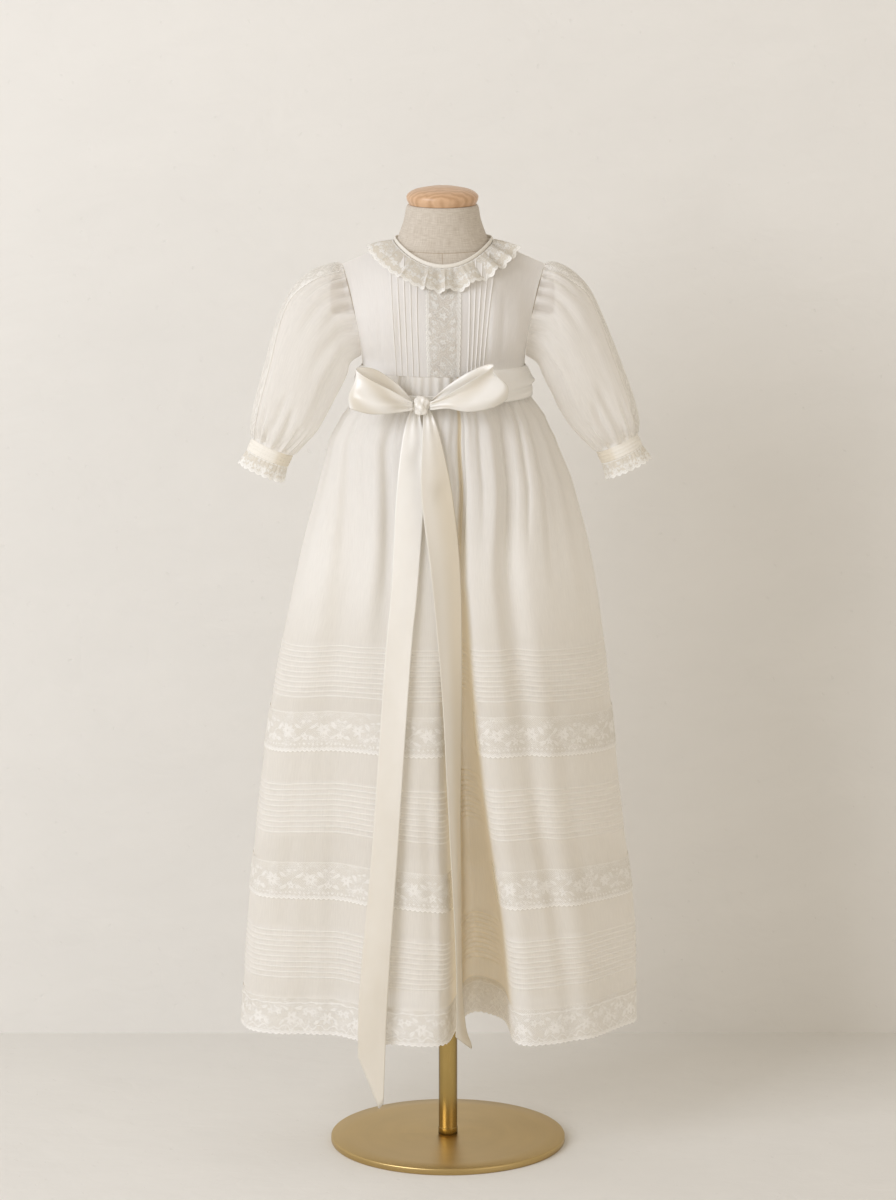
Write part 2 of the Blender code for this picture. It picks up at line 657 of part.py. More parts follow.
def make_button(name, height, pearl):
    """A small flat button that stands just off the left back, square to the cloth there."""
    share = -BUTTON_INSET / CHEST_HALF
    column = [bodice_point(share, rise, BACK) for rise in BODICE_RISES]
    row = max(number for number, point in enumerate(column[:-1]) if point[2] <= height)
    slope = column[row + 1] - column[row]
    here = column[row] + slope * (height - column[row][2]) / slope[2]
    up = slope / np.linalg.norm(slope)
    out = np.cross((1.0, 0.0, 0.0), up)
    if out[1] < 0:
        out = -out
    sideways = np.array([1.0, 0.0, 0.0])
    angles = np.arange(BUTTON_SIDES) * 2 * math.pi / BUTTON_SIDES
    rings = []
    start = BODICE_CLOTH / 2 + SEAM_GAP + BUTTON_CLEAR
    for lift, radius in ((0.0, 1.0), (0.7, 1.0), (1.0, 0.8)):
        centre = here + out * (start + lift * BUTTON_THICKNESS)
        circle = np.cos(angles)[:, None] * sideways + np.sin(angles)[:, None] * up
        rings.append(centre + circle * BUTTON_RADIUS * radius)
    add_rings(name, rings, pearl)


def neck_frame(angle):
    """The neckline's point and its level direction away from the neck."""
    side = FRONT if math.sin(angle) < 0 else BACK
    point = np.array(
        [
            GOWN_X + NECK_HALF * math.cos(angle),
            side.neck * math.sin(angle),
            NECK_SIDE - side.neck_drop * math.sin(angle) ** 2,
        ]
    )
    out = np.array([math.cos(angle) / NECK_HALF, math.sin(angle) / side.neck, 0.0])
    return point, out / np.linalg.norm(out)


def make_neck_binding(cloth):
    rows = [[], []]
    normals = [[], []]
    for number in range(BINDING_COLUMNS):
        point, out = neck_frame(number * 2 * math.pi / BINDING_COLUMNS)
        rows[0].append(point + np.array([0.0, 0.0, BINDING_LIFT + BINDING_HEIGHT]) - out * BINDING_LEAN)
        rows[1].append(point + np.array([0.0, 0.0, BINDING_LIFT]))
        normals[0].append(out)
        normals[1].append(out)
    add_cloth(
        "neck_binding",
        np.array(rows),
        np.array(normals),
        -BINDING_WALL / 2,
        BINDING_WALL / 2,
        cloth,
        ring=True,
    )


def make_collar(lace):
    """A gathered frill from the neckline, flatter over the shoulders and open at the back."""
    count = COLLAR_WAVES * 4
    angles = np.linspace(
        math.pi / 2 + COLLAR_OPENING, math.pi / 2 + 2 * math.pi - COLLAR_OPENING, count + 1
    )
    up = np.array([0.0, 0.0, 1.0])
    rows = [[], []]
    normals = [[], []]
    for number, angle in enumerate(angles):
        point, out = neck_frame(angle)
        slope = COLLAR_SLOPE_SIDE + COLLAR_SLOPE_ADDED * math.sin(angle) ** 2
        lying = out * math.cos(slope) - up * math.sin(slope)
        facing = out * math.sin(slope) + up * math.cos(slope)
        wave = math.sin(number * math.pi / 2)
        for row, reach in enumerate((0.0, 1.0)):
            height = COLLAR_WAVE_HEIGHT * (wave + COLLAR_WAVE_RAISE) * reach
            start = point + out * COLLAR_STAND_OFF + up * COLLAR_LIFT
            rows[row].append(start + lying * COLLAR_WIDTH * reach + facing * height)
            normals[row].append(facing)
    add_cloth("collar_ruffle", np.array(rows), np.array(normals), -LACE / 2, LACE / 2, lace)


# ---------------------------------------------------------------- sleeves and cuffs


def armhole_point(angle, right):
    """The armhole's edge: 0 at the shoulder point, 180 degrees under the arm."""
    side = FRONT if math.sin(angle) > 0 else BACK
    share = 1.0 if right else -1.0
    return bodice_point(share, (1 + math.cos(angle)) / 2, side)


def ring_point(ring, angle):
    middle = np.array([(ring.outer_x + ring.inner_x) / 2, 0.0, (ring.outer_z + ring.inner_z) / 2])
    half = np.array([(ring.outer_x - ring.inner_x) / 2, 0.0, (ring.outer_z - ring.inner_z) / 2])
    return middle + half * math.cos(angle) + np.array([0.0, -ring.half_depth * math.sin(angle), 0.0])


def sleeve_grid(rings, right):
    """Rows from the armhole to the cuff, and their normals, with gathers at both ends."""
    angles = np.arange(SLEEVE_COLUMNS) * 2 * math.pi / SLEEVE_COLUMNS
    shift = np.array([SLEEVE_SEAM_SHIFT if right else -SLEEVE_SEAM_SHIFT, 0.0, 0.0])
    rows = [[armhole_point(angle, right) + shift for angle in angles]]
    for ring in rings:
        rows.append([ring_point(ring, angle) for angle in angles])
    grid = np.array(rows)
    normals = grid_normals(grid, True, row_centres(grid))
    normals[0, :, 0] = 0.0
    normals /= np.linalg.norm(normals, axis=2, keepdims=True)
    last = len(rows) - 1
    gathers = dict(enumerate(SLEEVE_GATHER_ROWS))
    for row in range(last + 1):
        for column, angle in enumerate(angles):
            sign = 1 if column % 2 else -1
            at_head = gathers.get(row, 0.0) * (1 + math.cos(angle)) / 2
            at_cuff = gathers.get(last - row, 0.0)
            grid[row, column] += normals[row, column] * sign * SLEEVE_GATHER * max(at_head, at_cuff)
    return grid, normals


def cuff_rings(rings, start, end, flare, count):
    """Rings from start to end past the sleeve's last ring, along the arm."""
    last = rings[-1]
    outer = np.array([last.outer_x, 0.0, last.outer_z])
    inner = np.array([last.inner_x, 0.0, last.inner_z])
    across = (outer - inner) / np.linalg.norm(outer - inner)
    down = np.array([-across[2], 0.0, across[0]])
    if down[2] > 0:
        down = -down
    found = []
    for step in range(count):
        share = step / (count - 1)
        move = down * (start + (end - start) * share)
        widen = across * flare * share
        a = outer + move + widen
        b = inner + move - widen
        found.append(SleeveRing(a[0], a[2], b[0], b[2], last.half_depth + flare * share))
    return found


def make_sleeve(label, rings, right, cloth, lace):
    grid, normals = sleeve_grid(rings, right)
    half_wall = BODICE_CLOTH / 2
    add_cloth(f"sleeve_{label}", grid, normals, -half_wall, half_wall, cloth, ring=True)

    reach = SLEEVE_LACE_REACH
    columns = [column % SLEEVE_COLUMNS for column in range(-reach, reach + 1)]
    strip = grid[1:, columns]
    near = half_wall + SEAM_GAP
    add_cloth(f"sleeve_lace_{label}", strip, normals[1:, columns], near, near + LACE, lace)

    angles = np.arange(CUFF_COLUMNS) * 2 * math.pi / CUFF_COLUMNS
    count = CUFF_TUCKS * 2 + 2
    band = cuff_rings(rings, CUFF_START, CUFF_START + CUFF_LENGTH, 0.0, count)
    grid = np.array([[ring_point(ring, angle) for angle in angles] for ring in band])
    normals = grid_normals(grid, True, row_centres(grid))
    lifts = np.array([CUFF_TUCK_HEIGHT * (row % 2) for row in range(count)])
    lifts[-1] = 0.0
    outer = grid + normals * (half_wall + lifts[:, None, None])
    add_wall(f"cuff_{label}", outer, (grid - normals * half_wall)[[0, -1]], cloth, ring=True)

    count = CUFF_LACE_WAVES * 4
    angles = np.arange(count) * 2 * math.pi / count
    start = CUFF_START + CUFF_LENGTH + SEAM_GAP
    frill = cuff_rings(rings, start, start + CUFF_LACE_LENGTH, CUFF_LACE_FLARE, 2)
    grid = np.array([[ring_point(ring, angle) for angle in angles] for ring in frill])
    normals = grid_normals(grid, True, row_centres(grid))
    for column in range(count):
        wave = math.sin(column * math.pi / 2)
        grid[1, column] += normals[1, column] * wave * CUFF_LACE_WAVE_HEIGHT
    add_cloth(f"cuff_lace_{label}", grid, normals, -LACE / 2, LACE / 2, lace, ring=True)


# ---------------------------------------------------------------- skirt


def skirt_outline(height):
    """The skirt's left, right, front and back reach at a height, and how square its outline is."""
    heights = [ring.height for ring in SKIRT_RINGS]
    if height <= heights[-1]:
        share = len(heights) - 1.0
    else:
        row = max(i for i in range(len(heights)) if heights[i] >= min(height, heights[0]))
        row = min(row, len(heights) - 2)
        share = row + (heights[row] - height) / (heights[row] - heights[row + 1])
        share = max(share, 0.0)
    found = along([ring[1:] for ring in SKIRT_RINGS], [share])[0]
    fall = (WAIST - height) / (WAIST - HEM)
    return (*found, SQUARE_AT_WAIST + (SQUARE_AT_HEM - SQUARE_AT_WAIST) * min(max(fall, 0), 1))


def fold_values(fold, height):
    """A fold line's share of the half width and its inset at a height."""
    waist, hip, hem = FOLD_LEVELS
    if height >= hip:
        t = smooth_step((waist - height) / (waist - hip))
        return fold.waist + (fold.hip - fold.waist) * t, fold.waist_in + (fold.hip_in - fold.waist_in) * t
    t = (hip - height) / (hip - hem)
    eased = 1 - (1 - t) ** 2
    return fold.hip + (fold.hem - fold.hip) * t, fold.hip_in + (fold.hem_in - fold.hip_in) * eased


def fold_point(fold, height, outline, back):
    left, right, front, rear, power = outline
    share, inset = fold_values(fold, height)
    middle, half = (left + right) / 2, (right - left) / 2
    across = middle + half * share
    if back:
        return np.array([across, rear * bulge(share, power) - inset])
    return np.array([across, front * bulge(share, power) + inset])


def mitred(points):
    """Normals of a closed plan outline, longer at its corners so that walls keep their thickness."""
    ahead = np.roll(points, -1, axis=0) - points
    after = np.stack([ahead[:, 1], -ahead[:, 0]], axis=1)
    after /= np.linalg.norm(after, axis=1, keepdims=True)
    middle = after + np.roll(after, 1, axis=0)
    middle /= np.linalg.norm(middle, axis=1, keepdims=True)
    square = (middle * after).sum(axis=1, keepdims=True)
    return middle / np.maximum(square, MITRE_LIMIT)


def skirt_ring(height):
    """The skirt's closed section at a height: points and level normals, front columns first."""
    outline = skirt_outline(height)
    folds = [(fold, False) for fold in FRONT_FOLDS] + [(fold, True) for fold in BACK_FOLDS]
    lines = np.array([fold_point(fold, height, outline, back) for fold, back in folds])
    looped = np.concatenate([lines[-1:], lines, lines[:2]])
    points = []
    for number, (fold, _) in enumerate(folds):
        shares = [1 + number + step / fold.steps for step in range(fold.steps)]
        points.extend(along(looped, shares))
    points = np.array(points)
    normals = mitred(points)
    fade = smooth_step((height - GATHER_END) / (WAIST - GATHER_END))
    sign = np.where(np.arange(len(points)) % 2, 1.0, -1.0)
    points = points + normals * (sign * GATHER_DEPTH * fade)[:, None]
    level = np.full((len(points), 1), height)
    flat = np.zeros((len(points), 1))
    return np.concatenate([points, level], axis=1), np.concatenate([normals, flat], axis=1)


FRONT_COLUMNS = sum(fold.steps for fold in FRONT_FOLDS[:-1]) + 1


def skirt_rows(rows):
    """Grids of points and outer lifts for (height, lift) rows."""
    grid = []
    normals = []
    for height, lift in rows:
        points, out = skirt_ring(height)
        grid.append(points + out * lift)
        normals.append(out)
    return np.array(grid), np.array(normals)


def tuck_rows():
    """Heights and lifts of the outer face: each tuck slopes out and steps back under its edge."""
    rows = [(height, 0.0) for height in PLAIN_ROWS_TOP + PLAIN_ROWS_LACE + (ORGANZA_EDGE,)]
    for band in TUCK_BANDS:
        pitch = (band.top - band.bottom) / (band.count - 1)
        for number in range(band.count):
            edge = band.top - pitch * number
            rows.append((edge + TUCK_EDGE, TUCK_HEIGHT))
            rows.append((edge - TUCK_EDGE, 0.0))
    return sorted(rows, reverse=True)


def half_of(grid, back):
    """The front or back columns, their end columns drawn back from the side seams."""
    if back:
        part = np.concatenate([grid[:, FRONT_COLUMNS - 1 :], grid[:, :1]], axis=1)
    else:
        part = grid[:, :FRONT_COLUMNS].copy()
    for end, beside in ((0, 1), (-1, -2)):
        step = part[:, beside] - part[:, end]
        step[:, 2] = 0.0
        step /= np.linalg.norm(step, axis=1, keepdims=True)
        part[:, end] += step * SEAM_GAP / 2
    return part


def make_skirt(cloth):
    """Front and back halves, tucked outside and plain inside."""
    rows = tuck_rows()
    outer, out_normals = skirt_rows(rows)
    edges, edge_normals = skirt_rows([(height, 0.0) for height, _ in rows])
    plain, normals = skirt_rows([(height, 0.0) for height in PLAIN_ROWS_TOP + INNER_ROWS_LOW])
    outer = outer + out_normals * ORGANZA / 2
    edges = edges - edge_normals * ORGANZA / 2
    inner = plain - normals * ORGANZA / 2
    for name, back in (("skirt_front", False), ("skirt_back", True)):
        seam = half_of(edges, back)
        seam = (seam[:, 0], seam[:, -1])
        add_wall(name, half_of(outer, back), half_of(inner, back), cloth, sharp=SHARP_ANGLE, inner_edges=seam)


def make_lace_bands(lace):
    near = ORGANZA / 2 + SEAM_GAP
    for name, heights in LACE_BANDS.items():
        ridge = [0.0] * len(heights)
        if len(heights) == 3:
            ridge[1] = LACE_RIDGE
        grid, normals = skirt_rows([(height, 0.0) for height in heights])
        outer = grid + normals * (near + LACE + np.array(ridge)[:, None, None])
        inner = grid + normals * near
        add_wall(name, outer, inner, lace, ring=True)


# ---------------------------------------------------------------- sash and bow


def make_sash(satin):
    """A soft band round the waist, drawn in to a narrow bunch under the knot."""
    grid = np.empty((SASH_ROWS, SASH_COLUMNS, 3))
    normals = np.empty_like(grid)
    knot_x = KNOT[0] - GOWN_X
    for column in range(SASH_COLUMNS):
        angle = column * 2 * math.pi / SASH_COLUMNS
        depth = SASH_FRONT if math.sin(angle) < 0 else SASH_BACK
        across = SASH_HALF_WIDTH * math.cos(angle)
        frontal = max(-math.sin(angle), 0.0)
        top = SASH_TOP_SIDE + (SASH_TOP_FRONT - SASH_TOP_SIDE) * abs(math.sin(angle))
        drawn = 0.0
        if math.sin(angle) < 0:
            drawn = 1 - smooth_step((abs(across - knot_x) - SASH_DRAWN) / SASH_DRAWN_FADE)
        top += (SASH_KNOT_TOP - top) * drawn
        bottom = SASH_BOTTOM + (SASH_KNOT_BOTTOM - SASH_BOTTOM) * drawn
        out = np.array([math.cos(angle) / SASH_HALF_WIDTH, math.sin(angle) / depth, 0.0])
        out /= np.linalg.norm(out)
        for row in range(SASH_ROWS):
            share = row / (SASH_ROWS - 1)
            crumple = 0.0
            if 0 < row < SASH_ROWS - 1:
                crumple = SASH_CRUMPLE * math.sin(row * math.pi / 2 + frontal * 2)
            height = top + (bottom - top) * share
            place = np.array([GOWN_X + across, depth * math.sin(angle), height])
            grid[row, column] = place + out * crumple
            normals[row, column] = out
    add_cloth("sash", grid, normals, -SATIN / 2, SATIN / 2, satin, ring=True)


def make_loop(name, stations, satin):
    """A ribbon loop: its two edges run along smooth curves, and it dishes a little across."""
    shares = np.linspace(0, len(stations) - 1, (len(stations) - 1) * LOOP_STEPS + 1)
    low = along([(s.low_x, s.y, s.low_z) for s in stations], shares)
    high = along([(s.high_x, s.y, s.high_z) for s in stations], shares)
    rows = [low + (high - low) * row / (LOOP_ROWS - 1) for row in range(LOOP_ROWS)]
    grid = np.array(rows)
    centre = grid.mean(axis=(0, 1))
    normals = grid_normals(grid, False, centre)
    add_cloth(name, grid, normals, -SATIN / 2, SATIN / 2, satin)


def make_knot(satin):
    """A small pleated knot."""
    centre = np.array(KNOT)
    rings = []
    for tilt in KNOT_TILTS:
        level = math.radians(tilt)
        ring = []
        for column in range(KNOT_COLUMNS):
            angle = column * 2 * math.pi / KNOT_COLUMNS
            pleat = KNOT_PLEATS[column % 2]
            across = KNOT_RADII[0] * math.cos(level) * math.cos(angle) * pleat
            deep = KNOT_RADII[1] * math.cos(level) * math.sin(angle) * pleat
            ring.append(centre + np.array([across, deep, KNOT_RADII[2] * math.sin(level)]))
        rings.append(np.array(ring))
    add_rings("bow_knot", rings, satin)


def make_tail(name, stations, cut, satin):
    """A hanging ribbon that ends in a slanting cut."""
    shares = np.linspace(0, len(stations) - 1, (len(stations) - 1) * TAIL_STEPS + 1)
    left = along([(s.left_x, s.left_y, s.height) for s in stations], shares)
    right = along([(s.right_x, s.right_y, s.height) for s in stations], shares)
    rows = []
    for a, b in zip(left, right):
        rows.append([a + (b - a) * column / (TAIL_COLUMNS - 1) for column in range(TAIL_COLUMNS)])
    grid = np.array(rows)
    grid[-1, 1] = (cut[0], (left[-1][1] + right[-1][1]) / 2, cut[1])
    front = grid.mean(axis=1, keepdims=True) + np.array([0.0, 0.05, 0.0])
    normals = grid_normals(grid, False, front)
    normals[:, :, 2] = 0.0
    normals /= np.linalg.norm(normals, axis=2, keepdims=True)
    add_cloth(name, grid, normals, -SATIN / 2, SATIN / 2, satin)


def main():
    clear_scene()
    brass = material("brushed_brass", (0.62, 0.47, 0.25), 0.32, 1.0)
    linen = material("natural_linen", (0.75, 0.69, 0.59), 0.9)
    wood = material("light_wood", (0.62, 0.42, 0.24), 0.45)
    organza = material("ivory_organza", (0.93, 0.91, 0.86), 0.6)
    lace = material("ivory_lace", (0.95, 0.92, 0.85), 0.8)
    satin = material("ivory_satin", (0.93, 0.89, 0.79), 0.35)
    pearl = material("pearl", (0.92, 0.9, 0.85), 0.3)

    make_base(brass)
    make_pole(brass)
    make_form(linen, wood)
    make_bodice_front(organza, lace)
    make_bodice_backs(organza, pearl)
    make_neck_binding(organza)
    make_collar(lace)
    make_sleeve("left", SLEEVE_LEFT, False, organza, lace)
    make_sleeve("right", SLEEVE_RIGHT, True, organza, lace)
    make_skirt(organza)
    make_lace_bands(lace)
    make_sash(satin)
    make_loop("bow_loop_left", LOOP_LEFT, satin)
    make_loop("bow_loop_right", LOOP_RIGHT, satin)
    make_knot(satin)
    make_tail("tail_left", TAIL_LEFT, TAIL_LEFT_CUT, satin)
    make_tail("tail_right", TAIL_RIGHT, TAIL_RIGHT_CUT, satin)


main()
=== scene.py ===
"""The looks of a long christening gown on a limbless dress form with a brass stand.

Metres, +Z up; the gown faces -Y. Cloth is a thin shell on the form of its CAD solid.
"""

import math
from collections import namedtuple

import bmesh
import bpy
import numpy as np
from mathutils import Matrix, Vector


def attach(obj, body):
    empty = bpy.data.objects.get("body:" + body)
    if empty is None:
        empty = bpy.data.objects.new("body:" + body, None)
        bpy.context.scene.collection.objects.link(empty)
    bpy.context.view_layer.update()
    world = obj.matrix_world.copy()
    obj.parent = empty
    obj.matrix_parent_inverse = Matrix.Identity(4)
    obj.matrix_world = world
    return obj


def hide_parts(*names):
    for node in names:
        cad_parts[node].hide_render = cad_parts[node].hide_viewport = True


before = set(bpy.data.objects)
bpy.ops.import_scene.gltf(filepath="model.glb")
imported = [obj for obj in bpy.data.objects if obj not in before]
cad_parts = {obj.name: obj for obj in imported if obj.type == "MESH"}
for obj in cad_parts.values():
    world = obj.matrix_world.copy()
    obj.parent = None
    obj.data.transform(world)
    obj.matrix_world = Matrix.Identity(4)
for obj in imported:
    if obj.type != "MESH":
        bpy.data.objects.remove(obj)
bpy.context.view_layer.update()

MM = 0.001
TURN = 2 * math.pi
UP = np.array([0.0, 0.0, 1.0])


def table(kind, *rows):
    return tuple(kind(*row) for row in rows)


# ---------------------------------------------------------------- sizes

# As in the solids, but for the neck ring, the deep pleat and the valley beside it.
BASE_RADIUS = 0.120
BASE_THICKNESS = 0.007
POLE_RADIUS = 0.0095
FORM_BOTTOM = 0.630

WAIST = 0.803
UNDERARM = 0.816
CHEST = 0.860
SHOULDER_POINT = 0.9065
NECK_SIDE = 0.9290
ORGANZA_EDGE = 0.163
HEM = 0.129

GOWN_X = -0.0045
WAIST_HALF = 0.080
UNDERARM_HALF = 0.0805
CHEST_HALF = 0.0865
SHOULDER_HALF = 0.0998
NECK_HALF = 0.0485
CHEST_AT_ARMHOLE = 0.919
ARMHOLE_RISE = 0.026
ARMHOLE_PULL = 0.005
LEVEL_POWER = 2.2
CHEST_POWER = 2.4
PANEL_SHARE = 0.2045
PINTUCK_SHARES = (0.300, 0.364, 0.428, 0.492, 0.556)

BodiceSide = namedtuple("BodiceSide", "sign waist underarm chest neck neck_drop")
FRONT = BodiceSide(-1, 0.0640, 0.0655, 0.0670, 0.0500, 0.0215)
BACK = BodiceSide(1, 0.0600, 0.0620, 0.0620, 0.0400, 0.0015)

SkirtRing = namedtuple("SkirtRing", "height left right front back")
SKIRT_RINGS = table(
    SkirtRing,
    (0.8027, -0.0845, 0.0755, -0.0640, 0.0600),
    (0.7900, -0.0870, 0.0780, -0.0650, 0.0620),
    (0.7750, -0.0895, 0.0805, -0.0662, 0.0640),
    (0.7650, -0.0960, 0.0880, -0.0690, 0.0665),
    (0.7550, -0.1040, 0.0955, -0.0740, 0.0700),
    (0.7330, -0.1160, 0.1060, -0.0790, 0.0740),
    (0.6900, -0.1270, 0.1230, -0.0840, 0.0790),
    (0.6300, -0.1430, 0.1390, -0.0870, 0.0830),
    (0.5720, -0.1570, 0.1505, -0.0890, 0.0850),
    (0.5200, -0.1690, 0.1580, -0.0910, 0.0870),
    (0.4400, -0.1820, 0.1670, -0.0930, 0.0890),
    (0.3650, -0.1910, 0.1750, -0.0950, 0.0910),
    (0.2400, -0.2020, 0.1900, -0.0980, 0.0950),
    (0.1290, -0.2090, 0.1920, -0.1000, 0.0980),
)
SQUARE_AT_WAIST = 2.0
SQUARE_AT_HEM = 2.5
HIP = 0.600

FoldLine = namedtuple("FoldLine", "name waist hip hem waist_in hip_in hem_in")
FRONT_FOLDS = table(
    FoldLine,
    ("side_left", -1.00, -1.000, -1.000, 0.000, 0.000, 0.000),
    ("left_turn", -0.97, -0.955, -0.965, 0.000, 0.000, 0.000),
    ("left_panel", -0.93, -0.820, -0.830, 0.000, -0.003, 0.013),
    ("left_crease", -0.86, -0.640, -0.680, 0.005, 0.008, 0.026),
    ("left_crest", -0.64, -0.500, -0.520, -0.001, -0.003, 0.030),
    ("tail_valley", -0.50, -0.370, -0.370, 0.003, 0.003, 0.012),
    ("centre_left", -0.34, -0.250, -0.240, -0.001, -0.003, 0.005),
    ("centre_crest", -0.16, -0.130, -0.090, 0.000, -0.004, -0.001),
    ("centre_edge", 0.02, -0.005, 0.032, 0.000, -0.002, 0.008),
    ("pleat_mouth", 0.12, 0.045, 0.078, 0.001, 0.004, 0.060),
    ("pleat_left", 0.155, 0.080, 0.128, 0.002, 0.018, 0.112),
    ("pleat_right", 0.180, 0.100, 0.215, 0.002, 0.018, 0.124),
    ("pleat_out", 0.215, 0.122, 0.338, 0.001, 0.009, 0.088),
    ("right_edge", 0.27, 0.160, 0.388, -0.001, -0.002, 0.007),
    ("right_crest", 0.45, 0.300, 0.520, -0.001, -0.006, -0.004),
    ("right_valley", 0.61, 0.410, 0.645, 0.005, 0.005, 0.002),
    ("right_fold", 0.80, 0.580, 0.770, -0.001, -0.004, 0.006),
    ("right_turn", 0.93, 0.860, 0.930, 0.001, 0.003, 0.022),
    ("side_right", 1.00, 1.000, 1.000, 0.000, 0.000, 0.000),
)
BACK_FOLDS = table(
    FoldLine,
    ("back_right_turn", 0.93, 0.930, 0.930, 0.000, 0.001, 0.004),
    ("back_right_crest", 0.75, 0.740, 0.740, 0.000, -0.003, -0.004),
    ("back_right_valley", 0.56, 0.550, 0.550, 0.004, 0.008, 0.015),
    ("back_crest_one", 0.37, 0.360, 0.350, 0.000, -0.003, -0.005),
    ("back_middle_valley", 0.12, 0.130, 0.140, 0.004, 0.010, 0.020),
    ("back_crest_two", -0.08, -0.100, -0.110, 0.000, -0.003, -0.005),
    ("back_left_valley", -0.33, -0.350, -0.360, 0.004, 0.009, 0.017),
    ("back_crest_three", -0.55, -0.560, -0.570, 0.000, -0.002, -0.004),
    ("back_left_crease", -0.75, -0.760, -0.760, 0.003, 0.006, 0.010),
    ("back_left_turn", -0.93, -0.930, -0.930, 0.000, 0.000, 0.002),
)
LINES = [(fold, False) for fold in FRONT_FOLDS] + [(fold, True) for fold in BACK_FOLDS]
LINE_OF = {fold.name: number for number, (fold, _) in enumerate(LINES)}

TuckBand = namedtuple("TuckBand", "top bottom count")
TUCK_BANDS = table(
    TuckBand,
    (0.5330, 0.4815, 11),
    (0.3910, 0.3405, 10),
    (0.2360, 0.1880, 10),
)
LACE_UPPER = (0.4670, 0.4250)
LACE_LOWER = (0.3095, 0.2696)
LACE_HEM = (0.1680, HEM)

SleeveRing = namedtuple("SleeveRing", "outer_x outer_z inner_x inner_z half_depth")
SLEEVE_LEFT = table(
    SleeveRing,
    (-0.1190, 0.9040, -0.0975, 0.8085, 0.038),
    (-0.1370, 0.8965, -0.1010, 0.7970, 0.044),
    (-0.1550, 0.8780, -0.1065, 0.7850, 0.047),
    (-0.1680, 0.8510, -0.1115, 0.7750, 0.046),
    (-0.1800, 0.8090, -0.1185, 0.7610, 0.042),
    (-0.1920, 0.7660, -0.1290, 0.7415, 0.035),
    (-0.1955, 0.7470, -0.1400, 0.7290, 0.029),
    (-0.1950, 0.7320, -0.1555, 0.7147, 0.018),
)
SLEEVE_RIGHT = table(
    SleeveRing,
    (0.1080, 0.9055, 0.0895, 0.8080, 0.038),
    (0.1230, 0.8975, 0.0950, 0.7965, 0.043),
    (0.1385, 0.8810, 0.1000, 0.7860, 0.045),
    (0.1510, 0.8560, 0.1045, 0.7770, 0.044),
    (0.1675, 0.8160, 0.1100, 0.7640, 0.041),
    (0.1840, 0.7720, 0.1210, 0.7460, 0.035),
    (0.1893, 0.7500, 0.1340, 0.7315, 0.029),
    (0.1880, 0.7365, 0.1488, 0.7183, 0.018),
)
SLEEVE_SEAM_SHIFT = 1.1 * MM
SLEEVE_STRIP_WIDTH = 30.0 * MM
CUFF_START = 0.5 * MM
CUFF_LENGTH = 0.0122
CUFF_LACE_LENGTH = 0.0170
CUFF_LACE_FLARE = 0.0030
CUFF_FRILL_WIDTH = 18.0 * MM

COLLAR_WIDTH = 0.0270
COLLAR_WAVES = 18
COLLAR_WAVE_HEIGHT = 3.8 * MM
COLLAR_SLOPE_SIDE = math.radians(27)
COLLAR_SLOPE_BACK = math.radians(36)
COLLAR_SLOPE_FRONT = math.radians(26)
COLLAR_OPENING = math.radians(4)
COLLAR_STAND_OFF = 1.0 * MM
COLLAR_LIFT = 1.4 * MM
COLLAR_SWAY = 3.9 * MM
FRILL_CELL = 14.0 * MM
BINDING_HEIGHT = 4.0 * MM
BINDING_LIFT = 1.2 * MM
BINDING_LEAN = 0.8 * MM
BINDING_WALL = 1.6 * MM

SASH_HALF_WIDTH = 0.0883
SASH_FRONT = 0.0708
SASH_BACK = 0.0690
SASH_TOP_SIDE = 0.8050
SASH_TOP_FRONT = 0.8125
SASH_BOTTOM = 0.7760
SASH_KNOT_TOP = 0.7850
SASH_KNOT_BOTTOM = 0.7735
SASH_DRAWN = 0.012
SASH_DRAWN_FADE = 0.048
SASH_LEAN = 5.0 * MM
SASH_LEAN_SIDE = 2.2 * MM

KNOT = (-0.0262, -0.0805, 0.7775)
KNOT_RADII = (0.0080, 0.0088, 0.0095)
RIBBON_STEPS = 14
RibbonStation = namedtuple("RibbonStation", "low_x low_z high_x high_z y")
LOOP_LEFT = table(
    RibbonStation,
    (-0.0345, 0.7740, -0.0345, 0.7815, -0.0780),
    (-0.0520, 0.7725, -0.0500, 0.7985, -0.0765),
    (-0.0720, 0.7715, -0.0700, 0.8120, -0.0770),
    (-0.0900, 0.7730, -0.0860, 0.8155, -0.0790),
    (-0.0975, 0.7750, -0.0905, 0.8140, -0.0840),
    (-0.0930, 0.7745, -0.0870, 0.8110, -0.0910),
    (-0.0760, 0.7710, -0.0730, 0.8035, -0.0950),
    (-0.0560, 0.7715, -0.0540, 0.7935, -0.0930),
    (-0.0345, 0.7735, -0.0345, 0.7815, -0.0845),
)
LOOP_RIGHT = table(
    RibbonStation,
    (-0.0179, 0.7740, -0.0179, 0.7815, -0.0780),
    (0.0000, 0.7760, -0.0010, 0.7960, -0.0765),
    (0.0200, 0.7740, 0.0180, 0.8090, -0.0770),
    (0.0430, 0.7765, 0.0380, 0.8180, -0.0785),
    (0.0590, 0.7850, 0.0460, 0.8185, -0.0840),
    (0.0450, 0.7770, 0.0400, 0.8140, -0.0905),
    (0.0200, 0.7735, 0.0180, 0.8015, -0.0950),
    (0.0000, 0.7765, -0.0010, 0.7900, -0.0930),
    (-0.0179, 0.7735, -0.0179, 0.7815, -0.0845),
)
TailStation = namedtuple("TailStation", "height left_x left_y right_x right_y")
